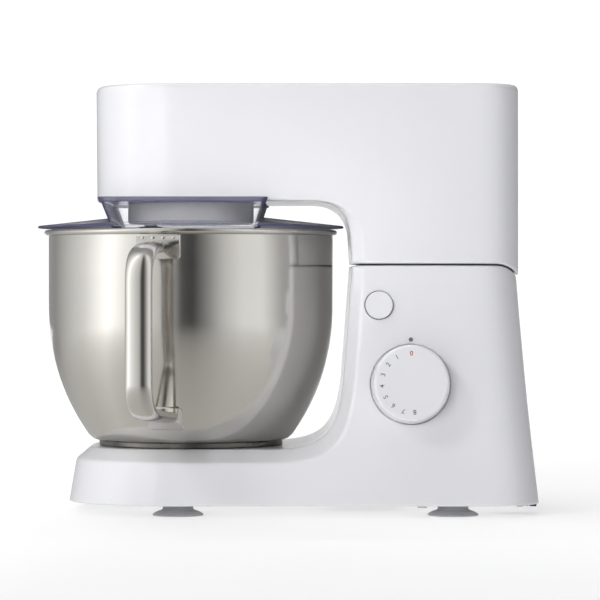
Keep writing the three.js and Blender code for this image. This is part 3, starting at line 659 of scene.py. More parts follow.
class Solid:
    """A closed mesh under construction, in millimetres on the maker's axes."""

    def __init__(self, mesh: bpy.types.Mesh) -> None:
        """Hold a mesh in a working object.

        Args:
            mesh: the mesh, whose normals are then turned outwards.
        """
        shape = bmesh.new()
        shape.from_mesh(mesh)
        bmesh.ops.remove_doubles(shape, verts=shape.verts, dist=0.0005)
        bmesh.ops.recalc_face_normals(shape, faces=shape.faces)
        shape.to_mesh(mesh)
        shape.free()
        self.body = bpy.data.objects.new("working", mesh)
        bpy.context.scene.collection.objects.link(self.body)

    @classmethod
    def loft(cls, rings: Sequence[Ring], closed: bool = False) -> Solid:
        """Join rings that have equal numbers of points.

        Args:
            rings: the rings, in order.
            closed: true where the last ring joins the first, so there are no end caps.

        Returns:
            The solid.
        """
        count = len(rings[0])
        faces: list[tuple[int, ...]] = []
        for i in range(len(rings) if closed else len(rings) - 1):
            low, high = i * count, ((i + 1) % len(rings)) * count
            for j in range(count):
                k = (j + 1) % count
                faces.append((low + j, low + k, high + k, high + j))
        if not closed:
            faces.append(tuple(range(count)))
            faces.append(tuple(range((len(rings) - 1) * count, len(rings) * count)))
        mesh = bpy.data.meshes.new("working")
        mesh.from_pydata([point for ring in rings for point in ring], [], faces)
        return cls(mesh)

    @classmethod
    def drawn(cls, curve: bpy.types.Curve) -> Solid:
        """Take the mesh of a filled curve or of text.

        Args:
            curve: the curve or text.

        Returns:
            The solid.
        """
        holder = bpy.data.objects.new("drawing", curve)
        bpy.context.scene.collection.objects.link(holder)
        bpy.context.view_layer.update()
        seen = holder.evaluated_get(bpy.context.evaluated_depsgraph_get())
        mesh = bpy.data.meshes.new_from_object(seen)
        bpy.data.objects.remove(holder)
        return cls(mesh)

    @classmethod
    def box(cls, x: Point, y: Point, z: Point) -> Solid:
        """Box between two values on each axis."""
        corners = [(x[0], y[0]), (x[1], y[0]), (x[1], y[1]), (x[0], y[1])]
        return cls.loft([level(corners, z[0]), level(corners, z[1])])

    @classmethod
    def plate(cls, outline: Sequence[Point], y: Point) -> Solid:
        """Outline drawn in X and Z, extruded along Y."""
        return cls.loft([upright(outline, y[0]), upright(outline, y[1])])

    @classmethod
    def turned(cls, profile: Sequence[Point], steps: int = 128) -> Solid:
        """Spin a profile about the Z axis.

        Args:
            profile: radius and height of each point, closing on itself off the axis or on it.
            steps: steps in the full turn.

        Returns:
            The solid.
        """
        angles = [2 * math.pi * i / steps for i in range(steps)]
        rings = [[(r * math.cos(a), r * math.sin(a), z) for r, z in profile] for a in angles]
        return cls.loft(rings, closed=True)

    @classmethod
    def rod(cls, radius: float, z: Point, centre: Point = (0.0, 0.0), steps: int = 96) -> Solid:
        """Upright round bar."""
        outline = arc(centre[0], centre[1], radius, 0, 360, steps)[:-1]
        return cls.loft([level(outline, z[0]), level(outline, z[1])])

    @classmethod
    def cross_rod(cls, radius: float, y: Point, centre: Point, steps: int = 72) -> Solid:
        """Round bar along Y."""
        outline = arc(centre[0], centre[1], radius, 0, 360, steps)[:-1]
        return cls.loft([upright(outline, y[0]), upright(outline, y[1])])

    def _combine(self, other: Solid, operation: str) -> None:
        """Join or cut with another solid, which is used up.

        Args:
            other: the other solid.
            operation: the Boolean modifier's operation.
        """
        modifier = self.body.modifiers.new("combine", "BOOLEAN")
        modifier.operation = operation
        modifier.solver = "MANIFOLD"
        modifier.object = other.body
        self._apply()
        other.discard()

    def _apply(self) -> None:
        """Make the modifiers' result the mesh."""
        bpy.context.view_layer.update()
        seen = self.body.evaluated_get(bpy.context.evaluated_depsgraph_get())
        mesh = bpy.data.meshes.new_from_object(seen)
        self.body.modifiers.clear()
        old, self.body.data = self.body.data, mesh
        bpy.data.meshes.remove(old)

    def discard(self) -> None:
        """Remove the working object and its mesh."""
        mesh = self.body.data
        bpy.data.objects.remove(self.body)
        bpy.data.meshes.remove(mesh)

    def cut(self, *others: Solid) -> Solid:
        """Take other solids away, using them up."""
        for other in others:
            self._combine(other, "DIFFERENCE")
        return self

    def join(self, *others: Solid) -> Solid:
        """Add other solids, using them up."""
        for other in others:
            self._combine(other, "UNION")
        return self

    def keep(self, other: Solid) -> Solid:
        """Keep what is inside another solid, using it up."""
        self._combine(other, "INTERSECT")
        return self

    def merge(self, other: Solid) -> Solid:
        """Take over another mesh as it is, without joining the solids.

        Args:
            other: the other solid, which is used up.

        Returns:
            This solid.
        """
        shape = bmesh.new()
        shape.from_mesh(self.body.data)
        shape.from_mesh(other.body.data)
        shape.to_mesh(self.body.data)
        shape.free()
        other.discard()
        return self

    def turn(self, matrix: Matrix) -> Solid:
        """Move the mesh by a matrix."""
        self.body.data.transform(matrix)
        return self

    def moulded(self, grid: float, passes: int) -> Solid:
        """Rebuild the surface on a fine grid, with the small edge radii of a moulding.

        Args:
            grid: size of the grid.
            passes: smoothing passes, which widen the radii.

        Returns:
            This solid.
        """
        remesh = self.body.modifiers.new("remesh", "REMESH")
        remesh.mode = "VOXEL"
        remesh.voxel_size = grid
        smooth = self.body.modifiers.new("smooth", "SMOOTH")
        smooth.factor = 0.5
        smooth.iterations = passes
        self._apply()
        return self


@dataclass
class Bench:
    """Where pieces are placed: the frame, the finishes and the bowl's axis."""

    palette: Palette
    origin: Vector = field(init=False)

    def __post_init__(self) -> None:
        """Find the bowl's axis, which is the maker's origin."""
        low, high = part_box("bowl_shell")
        self.origin = Vector(((low.x + high.x) / 2, (low.y + high.y) / 2, 0.0))

    def matrix(self) -> Matrix:
        """From the maker's millimetres to the frame's metres."""
        return Matrix.Translation(self.origin) @ Matrix.Scale(MILLIMETRE, 4)

    def point(self, x: float, y: float, z: float) -> Vector:
        """A place in the frame, from the maker's millimetres."""
        return self.matrix() @ Vector((x, y, z))

    def settle(
        self,
        shape: Solid,
        name: str,
        body: str,
        finish: str,
        stands_for: Sequence[str] = (),
        smooth_angle: float = 180.0,
        slot: str | None = None,
    ) -> bpy.types.Object:
        """Finish a piece: place it, dress it and tie it to its body.

        Args:
            shape: the solid, which becomes the piece.
            name: the piece's name.
            body: the body it moves with.
            finish: the material's name.
            stands_for: the frame's nodes that it replaces.
            smooth_angle: edges sharper than this stay crisp, in degrees.
            slot: the record's slot, where it differs from the finish; not used.

        Returns:
            The piece.
        """
        piece = shape.body
        piece.name = name
        piece.data.name = name
        piece.data.transform(self.matrix())
        piece.data.materials.clear()
        piece.data.materials.append(self.palette[finish])
        piece.data.shade_smooth()
        if smooth_angle < 180.0:
            piece.data.set_sharp_from_angle(angle=math.radians(smooth_angle))
        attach(piece, body)
        if stands_for:
            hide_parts(*stands_for)
        log.info("%s: %d faces on %s", name, len(piece.data.polygons), body)
        return piece


# ------------------------------------------------------------------------------ stand


@dataclass
class Tilt:
    """The hinge and the parting line that the stand and the head share."""

    x: float = 224.0
    z: float = 160.0
    stand_top: float = 181.6
    leg_bottom: float = 182.8
    edge: float = 119.6
    bevel: float = 8.2
    bevel_y: float = 72.0
    flare_y: float = 98.0
    arm_y: float = 49.0
    arm_slot: float = 5.0

    def arm_slots(self, x: Point) -> list[Solid]:
        """Cutters for the two hinge arms' slots."""
        half = self.arm_slot
        return [Solid.box(x, (y - half, y + half), (150, 200)) for y in (-self.arm_y, self.arm_y)]

    def flare(
        self,
        inner: Sequence[Point],
        outer: Sequence[Point],
        half_at: Callable[[float], float],
        side: int,
        wall: float,
        close: Callable[[list[Point]], list[Point]],
    ) -> Solid:
        """Cutter that bevels one inner edge, widening from the inner line outwards.

        Args:
            inner: the edge as seen at bevel_y.
            outer: the line where the bevel meets the side face.
            half_at: half width of the side face at a height.
            side: -1 for the near side, 1 for the far side.
            wall: how far the two lines are moved.
            close: turns an open line into the cutter's outline.

        Returns:
            The cutter.
        """
        start = self.bevel_y - 0.6 * abs(wall)
        near = offset_path(inner, wall)
        far = []
        for (x, z), (nx, nz), (_, height) in zip(offset_path(outer, wall), near, outer, strict=True):
            reach = (self.flare_y - start) / (half_at(height) - self.bevel_y)
            far.append((nx + reach * (x - nx), nz + reach * (z - nz)))
        return Solid.loft([upright(close(near), side * start), upright(close(far), side * self.flare_y)])


@dataclass
class Stand:
    """The moulded stand: a low base that carries the bowl and a column for the head."""

    bench: Bench
    tilt: Tilt
    bottom: float = 8.0
    base_top: float = 48.0
    front: float = -89.2
    front_lean: float = 0.165
    rear_low: float = 256.2
    rear_high: float = 240.0
    half_low: float = 93.0
    half_high: float = 77.6
    front_radius: float = 70.0
    rear_radius: float = 35.0
    bevel_low: float = 39.2
    bevel_inset: float = 8.9
    column_start: float = 66.0
    base_end: float = 90.0
    bend: Point = (113.4, 100.0)
    bend_outer: float = 122.0
    wall: float = 3.0
    recess: float = 64.0
    button: Point = (138.9, 152.7)
    button_hole: float = 10.55
    dial: Point = (161.5, 95.6)
    groove: Point = (26.8, 29.1)
    gland: Point = (-50.0, 9.6)
    gland_hole: float = 4.8
    feet: tuple[Point, ...] = ((-7, -68), (-7, 68), (193, -68), (193, 68))
    grid: float = 1.36

    def rise(self, z: float) -> float:
        """Share of the stand's height."""
        return (z - self.bottom) / (self.tilt.stand_top - self.bottom)

    def half(self, z: float) -> float:
        """Half width at a height."""
        rise = self.rise(z)
        return mixed(self.half_low, self.half_high, rise) - 1.5 * rise * (1 - rise)

    def rear(self, z: float) -> float:
        """The rear face's X at a height."""
        rise = self.rise(z)
        return mixed(self.rear_low, self.rear_high, rise) - 4 * rise * (1 - rise)

    def ring(self, z: float, inset: float) -> Ring:
        """The stand's outline at a height, moved inwards by an inset."""
        outline = plan_ring(
            self.front + self.front_lean * (z - self.bottom) + inset,
            self.rear(z) - inset,
            self.half(z) - inset,
            self.front_radius - inset,
            self.rear_radius - inset,
        )
        return level(outline, z)

    def column_lines(self) -> tuple[list[Point], list[Point]]:
        """Draw the column's curved inner edge.

        Returns:
            The edge, and the line where its bevel meets the side.
        """
        start, (x, z), outer_x = self.column_start, self.bend, self.bend_outer
        top = self.tilt.stand_top
        shares = [i / 10 for i in range(1, 11)]
        edge, far = self.tilt.edge, self.tilt.edge + self.tilt.bevel
        inner = bezier((start, self.base_top), (96, 50), (109.5, 56), (x, z), 24)
        outer = bezier((start, self.bevel_low), (106, 41), (116, 50), (outer_x, z), 24)
        inner += [(mixed(x, edge, share), mixed(z, top, share)) for share in shares]
        outer += [(mixed(outer_x, far, share), mixed(z, top, share)) for share in shares]
        return inner, outer

    def form(self, wall: float, bottom: float) -> Solid:
        """The stand's outer form, or the space inside it.

        Args:
            wall: 0 for the outer form, or the wall's thickness for the space.
            bottom: where the form ends below.

        Returns:
            The solid.
        """
        inner, outer = self.column_lines()
        tilt = self.tilt
        heights = [bottom, *range(20, 200, 12), 204]
        column = Solid.loft([self.ring(z, wall) for z in heights])
        dip = arc(tilt.x, tilt.z, tilt.stand_top - tilt.z, 90, 0, 24)
        line = offset_path([(-200, self.base_top), *inner, *dip], -wall)
        column.cut(Solid.plate([*line, (300, tilt.z), (300, 400), (-200, 400)], PAST_SIDES))

        def close(points: list[Point]) -> list[Point]:
            """The line closed above and in front, as the bevel cutter's outline."""
            return [*points, (points[-1][0], 230), (40, 230), (40, points[0][1])]

        for side in (-1, 1):
            column.cut(tilt.flare(inner, outer, self.half, side, -wall, close))
        column.keep(Solid.box((self.column_start, 300), ACROSS, (-20, 250)))
        # The base's top is narrower by the bevel, and ends inside the column that it is joined to.
        top = plan_ring(
            self.front + self.front_lean * (self.base_top - self.bottom) + self.bevel_inset + wall,
            self.base_end,
            tilt.bevel_y - 0.6 * wall,
            self.front_radius - 16,
            self.rear_radius,
        )
        middle = mixed(bottom, self.bevel_low, 0.5)
        sides = [self.ring(z, wall) for z in (bottom, middle, self.bevel_low - 0.5 * wall)]
        base = Solid.loft([*sides, level(top, self.base_top - wall)])
        base.keep(Solid.box((-120, self.column_start + 0.5), ACROSS, (-20, 120)))
        return column.join(base)

    def shell(self) -> None:
        """Make the stand's shell, open below, with the openings of its fittings."""
        shell = self.form(0, self.bottom).cut(self.form(self.wall, -5))
        shell.join(Solid.rod(self.recess + self.wall, (40.5, self.base_top - 1)))
        latch_slot = Solid.box((131, 153), (-32, -25), (170, 190))
        seat_recess = Solid.rod(self.recess, (43.5, 60))
        shell.cut(seat_recess, latch_slot, *self.tilt.arm_slots((203, 236.5)))
        shell.moulded(self.grid, 3)
        inner, outer = self.groove
        groove = Solid.turned([(inner, -1.0), (outer, -1.0), (outer, 3.0), (inner, 3.0)], 144)
        shell.cut(
            Solid.cross_rod(self.button_hole, (-95, -65), self.button),
            self.gland_bore(),
            groove.turn(self.dial_frame()),
        )
        self.bench.settle(shell, "stand_body", "stand", "white_plastic", ["stand_shell"])

    def gland_bore(self) -> Solid:
        """Make the cutter of the cord gland's hole, a bar along X.

        Returns:
            The bar.
        """
        y, z = self.gland
        outline = arc(y, z, self.gland_hole, 0, 360, 48)[:-1]
        return Solid.loft([[(end, a, b) for a, b in outline] for end in (245, 265)])

    def dial_frame(self) -> Matrix:
        """Find the dial's own axes, with +Z out of its face.

        Returns:
            The matrix from them to the maker's axes.
        """
        x, z = self.dial
        rise = 2.0
        lean = math.atan2(self.half(z - rise) - self.half(z + rise), 2 * rise)
        turn = Matrix.Rotation(math.pi / 2 - lean, 4, "X")
        return Matrix.Translation((x, -self.half(z), z)) @ turn

    def seal(self) -> None:
        """Make the strip of black rubber in the parting line under the head: painted shade, a dark piece
        where the gap falls in shadow.
        """
        tilt = self.tilt
        thick = 0.9
        top = tilt.stand_top + 0.05
        start = tilt.edge + 5.5
        outer, inner = (
            [(start, z), (tilt.x, z), *arc(tilt.x, tilt.z, z - tilt.z, 90, 20, 20)]
            for z in (top + thick, top)
        )
        strip = Solid.plate([*outer, *reversed(inner)], ACROSS)
        heights = (150, 170, 190)
        strip.keep(Solid.loft([self.ring(z, 1.6) for z in heights]))
        space = Solid.loft([self.ring(z, 4.2) for z in heights])
        space.keep(Solid.box((start + 3.0, 300), ACROSS, (140, 200)))
        strip.cut(space, *tilt.arm_slots((190, 250)))
        # The black strip is painted shade: it darkens the parting line as the gap's shadow would.
        self.bench.settle(strip, "stand_parting_shade", "stand", "black_rubber", (), 40)

    def suction_foot(self, number: int, centre: Point) -> None:
        """Make one suction foot, with a rolled lip and a ribbed neck.

        Args:
            number: its number in the frame.
            centre: its axis.
        """
        profile = [
            (0.0, 2.6),
            (7.0, 2.5),
            (12.0, 1.8),
            (15.0, 0.3),
            (15.4, 0.0),
            (18.2, 0.0),
            (18.5, 0.3),
            (18.5, 0.8),
            (18.2, 1.3),
            (15.4, 2.9),
            (12.2, 4.0),
            (11.4, 4.5),
            (11.3, 5.2),
            (11.0, 5.5),
            (11.0, 6.0),
            (11.3, 6.3),
            (11.3, 7.9),
            (11.1, 8.1),
            (3.2, 8.1),
            (3.2, 11.9),
            (4.4, 12.2),
            (2.6, 15.0),
            (0.0, 15.0),
        ]
        foot = Solid.turned(profile, 72).turn(Matrix.Translation((*centre, 0)))
        self.bench.settle(foot, f"suction_foot_{number}", "stand", "grey_rubber", [f"foot_{number}"], 40)

    def gland_piece(self) -> None:
        """Make the cord's gland, a ribbed sleeve with a flange inside the wall."""
        y, z = self.gland
        profile = [(3.4, 226), (4.2, 226), (4.2, 240.5), (4.6, 241), (4.6, 244.5), (4.2, 245)]
        for i in range(2):
            x = 247 + 2.2 * i
            profile += [(4.2, x - 0.7), (3.8, x - 0.4), (3.8, x + 0.4), (4.2, x + 0.7)]
        profile += [(4.2, 250.6), (4.5, 251.2), (4.5, 254.4), (4.2, 255), (3.8, 255), (3.4, 254.5)]
        gland = Solid.turned(profile, 48)
        along = Matrix(((0, 0, 1, 0), (1, 0, 0, y), (0, 1, 0, z), (0, 0, 0, 1)))
        self.bench.settle(gland.turn(along), "cord_sleeve", "stand", "black_rubber", ["cord_gland"], 40)

    def build(self) -> None:
        """Make all the pieces of the stand."""
        self.shell()
        for number, centre in enumerate(self.feet, 1):
            self.suction_foot(number, centre)
        self.gland_piece()
        self.seal()


@dataclass
class Controls:
    """The speed dial with its numbers, the index dot and the release button."""

    bench: Bench
    stand: Stand
    radius: float = 28.6
    height: float = 22.0
    number_radius: float = 21.0
    number_height: float = 4.8
    number_relief: float = 0.05
    first_step: float = 29.3
    step: float = 22.4
    button_radius: float = 10.0
    button_face: float = 4.6
    button_lean: float = 4.0
    button_foot_y: float = 74.0
    index_z: float = 128.0

    def cap(self) -> None:
        """Make the dial's cap, a hollow moulding with a soft edge and a shadow gap."""
        r, h, foot = self.radius, self.height, 0.8
        rim = arc(r - 3.7, h - 2.4, 2.4, 8, 90, 10)
        profile = [
            (3.3, foot + 0.4),
            (6.5, foot + 0.4),
            (6.5, h - 3),
            (25.5, h - 3),
            (26.5, foot),
            (r - 0.3, foot),
            (r, foot + 0.3),
            (r, 2.0),
            (r - 0.4, 6.0),
            (r - 0.9, 14.0),
            *rim,
            (r - 5.0, h - 0.06),
            (0, h - 0.06),
            (0, h - 3),
            (3.3, h - 3),
        ]
        cap = Solid.turned(profile, 144).turn(self.stand.dial_frame())
        self.bench.settle(cap, "dial_knob", "dial", "white_plastic", ["dial_cap"], 42)

    def numeral(self, digit: int) -> Solid:
        """One raised numeral on the dial's face, its top pointing outwards.

        Args:
            digit: from 0 to 8.

        Returns:
            The numeral.
        """
        text = bpy.data.curves.new("numeral", "FONT")
        text.body = str(digit)
        text.size = self.number_height
        text.align_x = "CENTER"
        text.align_y = "CENTER"
        text.extrude = self.number_relief
        text.offset = self.number_relief
        angle = 0.0 if digit == 0 else self.first_step + self.step * (digit - 1)
        turn = Matrix.Rotation(math.radians(angle), 4, "Z")
        outwards = Matrix.Translation((0, self.number_radius, self.height - 0.02))
        return Solid.drawn(text).turn(self.stand.dial_frame() @ turn @ outwards)

    def numbers(self) -> None:
        """Make the numbers 0 to 8, the first one red."""
        self.bench.settle(self.numeral(0), "dial_zero", "dial", "red_ink", (), 30, "white_plastic")
        rest = self.numeral(1)
        for digit in range(2, 9):
            rest.merge(self.numeral(digit))
        self.bench.settle(rest, "dial_numbers", "dial", "grey_ink", (), 30, "white_plastic")

    def index_dot(self) -> None:
        """Make the index dot above the dial, a low dome let into the wall."""
        z = self.index_z
        x, _ = self.stand.dial
        profile = [(0, -1.0), (1.6, -1.0), (1.6, 0.0), (1.5, 0.15), (1.1, 0.3), (0, 0.36)]
        lean = Matrix.Rotation(math.radians(85), 4, "X")
        place = Matrix.Translation((x + 0.4, -self.stand.half(z), z)) @ lean
        dot = Solid.turned(profile, 32).turn(place)
        self.bench.settle(dot, "dial_index", "stand", "grey_ink", (), 40, "black_plastic")

    def button(self) -> None:
        """Make the head's release button, with an eased face that is slightly dished."""
        x, z = self.stand.button
        r, face = self.button_radius, self.button_face
        wall = self.stand.half(z)
        foot = self.button_foot_y - wall
        profile = [
            (0, face - 0.35),
            (4, face - 0.28),
            (r - 2.2, face - 0.05),
            *arc(r - 1.3, face - 1.3, 1.3, 90, 4, 6),
            (r, face - 2.4),
            (r, foot),
            (0, foot),
        ]
        lean = math.radians(self.button_lean)
        place = Matrix.Translation((x, -wall, z)) @ Matrix.Rotation(math.pi / 2 - lean, 4, "X")
        button = Solid.turned(profile, 96).turn(place)
        self.bench.settle(button, "head_release", "button", "white_plastic", ["release_button"], 42)

    def build(self) -> None:
        """Make all the controls."""
        self.cap()
        self.numbers()
        self.index_dot()
        self.button()


# ------------------------------------------------------------------------------- bowl


@dataclass
class Bowl:
    """The polished steel bowl with its rolled rim, foot ring and strap handle."""

    bench: Bench
    radius: float = 106.3
    wall: float = 1.2
    rim: float = 207.5
    curve_z: float = 150.0
    curve: float = 161.7
    floor: float = 54.0
    handle_angle: float = 10.6
    strap_half: float = 9.5
    strap_skin: float = 1.6
    strap_crown: float = 5.0
    strap_top: float = 4.0
    lug_angle: float = 11.0
    weld_pitch: float = 7.6
    weld_z: float = 201.2

    def side(self, z: float) -> float:
        """Outer radius at a height.

        Args:
            z: the height.

        Returns:
            The radius.
        """
        if z >= self.curve_z:
            return self.radius
        drop = self.curve_z - z
        return self.radius - self.curve + math.sqrt(self.curve**2 - drop**2)

    def shell(self) -> None:
        """Make the spun bowl, with a bead round its rim."""
        heights = [mixed(56, self.curve_z, i / 22) for i in range(23)]
        rim, r = self.rim, self.radius
        bead = arc(r + 1.3, rim - 1.1, 1.95, -150, 130, 14)
        inner = [(self.side(z) - self.wall, z) for z in reversed(heights[2:])]
        profile = [
            (0, self.floor),
            (61.5, self.floor),
            (63, 52.2),
            (63.6, 52),
            (69.5, 52),
            (73.0, 53.2),
            *[(self.side(z), z) for z in heights],
            (r, 180),
            (r, rim - 3.0),
            *bead,
            (r - self.wall, rim - 0.6),
            (r - self.wall, 180),
            *inner,
            (76, 58.9),
            (73, 57.0),
            (70, 56.0),
            (66, 55.6),
            (0, 55.6),
        ]
        bowl = Solid.turned(profile, 192)
        self.bench.settle(bowl, "bowl_body", "bowl", "polished_steel", ["bowl_shell"], 50)

    def foot(self) -> None:
        """Make the foot ring, in steel painted dark for the shade and dark reflection under the bowl, and
        the lugs that lock it to the seat.
        """
        low, high = 48 + GAP, 52 - GAP
        profile = [(63.4, low), (68.0, low), (68.5, low + 0.5), (68.5, high), (63, high), (63, low + 0.4)]
        ring = Solid.turned(profile, 144)
        for middle in (0, 120, 240):
            start, end = middle - self.lug_angle, middle + self.lug_angle
            outline = [*arc(0, 0, 64, start, end, 8), *arc(0, 0, 57, end, start, 8)]
            ring.join(Solid.loft([level(outline, 48.6), level(outline, 51)]))
        # The ring is steel painted dark: painted shade and painted dark reflection where it sits under the
        # bowl.
        self.bench.settle(ring, "bowl_ring", "bowl", "steel_painted_shade", ["bowl_foot"], 40, "polished_steel")

    def handle_line(self) -> list[Point]:
        """Draw the strap's centreline.

        Returns:
            Its points as radius and height.
        """

        def corner(a: Point, b: Point, c: Point, steps: int) -> list[Point]:
            """Round corner from a to c, drawn towards b."""
            return [
                (
                    (1 - t) ** 2 * a[0] + 2 * t * (1 - t) * b[0] + t * t * c[0],
                    (1 - t) ** 2 * a[1] + 2 * t * (1 - t) * b[1] + t * t * c[1],
                )
                for t in (i / steps for i in range(1, steps + 1))
            ]

        points = [(100.0, 195.6), (120.0, 194.6), (140.0, 193.6)]
        points += corner(points[-1], (167, 192), (167, 168), 16)
        points += [(167, 145), (167, 121), (167, 98)]
        points += corner(points[-1], (167, 78), (140, 75.6), 16)
        return [*points, (125, 74.5), (105, 72.9), (84, 71.3)]

    def strap_section(self) -> list[Point]:
        """Draw the strap's section, a channel that is crowned outside.

        Returns:
            Its points as depth outwards and place across.
        """
        half, skin, crown = self.strap_half, self.strap_skin, self.strap_crown

        def face(top: float, width: float, numbers: range, steps: int) -> list[Point]:
            """One crowned face, whose points lie closer together at its edges."""
            places = (width * math.sin(math.pi * i / steps) for i in numbers)
            return [(top - crown + crown * math.sqrt(1 - 0.93 * (s / width) ** 2), s) for s in places]

        outer = face(self.strap_top, half, range(-12, 13), 24)
        lip = [(-2.9, half), (-3.5, half - 0.6), (-3.5, half - 1.5), (-2.8, half - skin)]
        inner = face(self.strap_top - skin, half - skin, range(8, -9, -1), 16)
        back = [(depth, -across) for depth, across in reversed(lip)]
        return [*outer, *lip, *inner, *back]

    def strap(self) -> Solid:
        """Sweep the section along the centreline.

        Returns:
            The handle's strap, drawn along +X.
        """
        line = self.handle_line()
        section = self.strap_section()
        rings: list[Ring] = []
        for i, (u, z) in enumerate(line):
            ahead, behind = line[min(i + 1, len(line) - 1)], line[max(i - 1, 0)]
            along = Vector((ahead[0] - behind[0], ahead[1] - behind[1])).normalized()
            rings.append([(u - depth * along.y, across, z + depth * along.x) for depth, across in section])
        return Solid.loft(rings)

    def bracket(self, half: float, low: float, high: float, radius: float = 3.0) -> Solid:
        """A curved plate welded to the bowl, with round corners.

        Args:
            half: half its width along the bowl.
            low: its lowest height.
            high: its highest height.
            radius: corner radius.

        Returns:
            The plate.
        """
        corners = plan_ring(low, high, half, radius, radius, 6)

        def ring(lift: float, shrink: float) -> Ring:
            """The plate's outline on the bowl.

            Args:
                lift: its height off the bowl.
                shrink: how much smaller it is than the plate.

            Returns:
                The outline.
            """
            middle = (low + high) / 2
            points = []
            for z, across in corners:
                z = middle + (z - middle) * (1 - shrink / (high - low))
                across *= 1 - shrink / (2 * half)
                r = self.side(z) + lift
                angle = across / self.side(z)
                points.append((r * math.cos(angle), r * math.sin(angle), z))
            return points

        return Solid.loft([ring(GAP, 0), ring(1.2, 0), ring(1.6, 1.0)])

    def weld_dots(self) -> Solid:
        """Make four spot welds in a row on the upper bracket.

        Returns:
            The welds' domes.
        """
        dots: Solid | None = None
        lying = Matrix.Rotation(math.pi / 2, 4, "Y")
        outwards = Matrix.Translation((self.radius + 1.4, 0, self.weld_z)) @ lying
        for i in range(4):
            across = self.weld_pitch * (i - 1.5)
            dome = Solid.turned([(0, -0.6), (1.1, -0.6), (1.1, 0.2), (0.8, 0.42), (0, 0.5)], 20)
            dome.turn(Matrix.Rotation(across / self.radius, 4, "Z") @ outwards)
            dots = dome if dots is None else dots.merge(dome)
        return dots

    def handle(self) -> None:
        """Make the handle and its brackets, and turn it to its place on the bowl."""
        handle = self.strap()
        handle.merge(self.bracket(16, 186.0, 204.2, 2.0))
        handle.merge(self.bracket(13, 62.5, 79.0))
        handle.merge(self.weld_dots())
        handle.turn(Matrix.Rotation(math.radians(-90 - self.handle_angle), 4, "Z"))
        self.bench.settle(handle, "bowl_grip", "bowl", "polished_steel", ["bowl_handle"], 40)

    def build(self) -> None:
        """Make all the pieces of the bowl."""
        self.shell()
        self.foot()
        self.handle()


# ------------------------------------------------------------------------------- head


@dataclass
class Head:
    """The tilting head: its shell and the cover that closes it below."""

    bench: Bench
    tilt: Tilt
    front: float = -69.5
    rear: float = 242.0
    half: float = 77.2
    top: float = 314.0
    underside: float = 228.4
    nose_radius: float = 58.0
    rear_radius: float = 32.0
    cover_half: float = 64.0
    wall: float = 3.0
    top_ease: float = 4.0
    grid: float = 1.26

    def ring(self, z: float, inset: float) -> Ring:
        """The head's outline at a height, moved inwards by an inset."""
        outline = plan_ring(
            self.front + 0.008 * (self.top - z) + inset,
            self.rear - inset,
            self.half - inset,
            self.nose_radius - inset,
            self.rear_radius - inset,
        )
        return level(outline, z)

    def leg_lines(self) -> tuple[list[Point], list[Point]]:
        """Draw the inner edge of the head's rear leg.

        Returns:
            The edge, and the line where its bevel meets the side.
        """
        under, bottom, edge = self.underside, self.tilt.leg_bottom, self.tilt.edge
        inner = [*bezier((91, under), (110, under), (117.4, 217), (118.4, 203), 20), (edge, bottom)]
        outer = [
            *bezier((91, under), (113, under), (125.4, 218), (126.6, 203), 20),
            (edge + self.tilt.bevel, bottom),
        ]
        return inner, outer

    def below(self, wall: float) -> Solid:
        """Everything below the head's lower face.

        Args:
            wall: how far the face is moved up.

        Returns:
            The solid.
        """
        tilt = self.tilt
        dip = arc(tilt.x, tilt.z, tilt.leg_bottom - tilt.z, 90, 0, 24)
        line = offset_path([(-200, self.underside), *self.leg_lines()[0], *dip], wall)
        return Solid.plate([*line, (300, tilt.z), (300, 50), (-200, 50)], PAST_SIDES)

    def form(self, wall: float) -> Solid:
        """The head's outer form, or the space inside it.

        Args:
            wall: 0 for the outer form, or the wall's thickness for the space.

        Returns:
            The solid.
        """
        rings = [self.ring(z, wall) for z in (self.tilt.z, 190, 210, 230, 250, 270, 290)]
        if wall:
            rings.append(self.ring(self.top - wall, wall))
        else:
            ease = self.top_ease
            rings += [self.ring(self.top - ease + h, ease - w) for w, h in arc(0, 0, ease, 0, 90, 8)]
        form = Solid.loft(rings).cut(self.below(wall))
        inner, outer = self.leg_lines()

        def close(points: list[Point]) -> list[Point]:
            """The line closed below and in front, as the bevel cutter's outline."""
            return [*points, (points[-1][0], 120), (40, 120), (40, points[0][1])]

        for side in (-1, 1):
            form.cut(self.tilt.flare(inner, outer, lambda _: self.half, side, wall, close))
        return form

    def cover_space(self, wall: float, margin: float) -> Solid:
        """The opening that the lower cover fills.

        Args:
            wall: its depth above the lower face.
            margin: how much it is widened.

        Returns:
            The solid.
        """
        width = self.cover_half + margin
        return self.below(wall).keep(Solid.box((-48 - margin, 218 + margin), (-width, width), (170, 250)))

    def shell(self) -> None:
        """Make the head's shell, with the vents at its rear."""
        shell = self.form(0).cut(self.form(self.wall), self.cover_space(self.wall + 0.2, GAP))
        vents = [Solid.box((225, 250), (y - 3, y + 3), (196, 216)) for y in range(-30, 31, 10)]
        shell.cut(*self.tilt.arm_slots((196, 228)), *vents)
        shell.moulded(self.grid, 3)
        self.bench.settle(shell, "head_body", "head", "white_plastic", ["head_shell"])

    def cover(self) -> None:
        """Make the lower cover, with the drive's opening."""
        cover = self.cover_space(self.wall, 0).cut(self.below(0))
        drive_hole = Solid.rod(50, (220, 240))
        latch_slot = Solid.box((131.9, 145.9), (-31, -26), (175, 200))
        cover.cut(drive_hole, latch_slot, *self.tilt.arm_slots((196, 228)))
        self.bench.settle(cover, "head_floor", "head", "white_plastic", ["head_lower_cover"], 25)

    def build(self) -> None:
        """Make all the pieces of the head."""
        self.shell()
        self.cover()


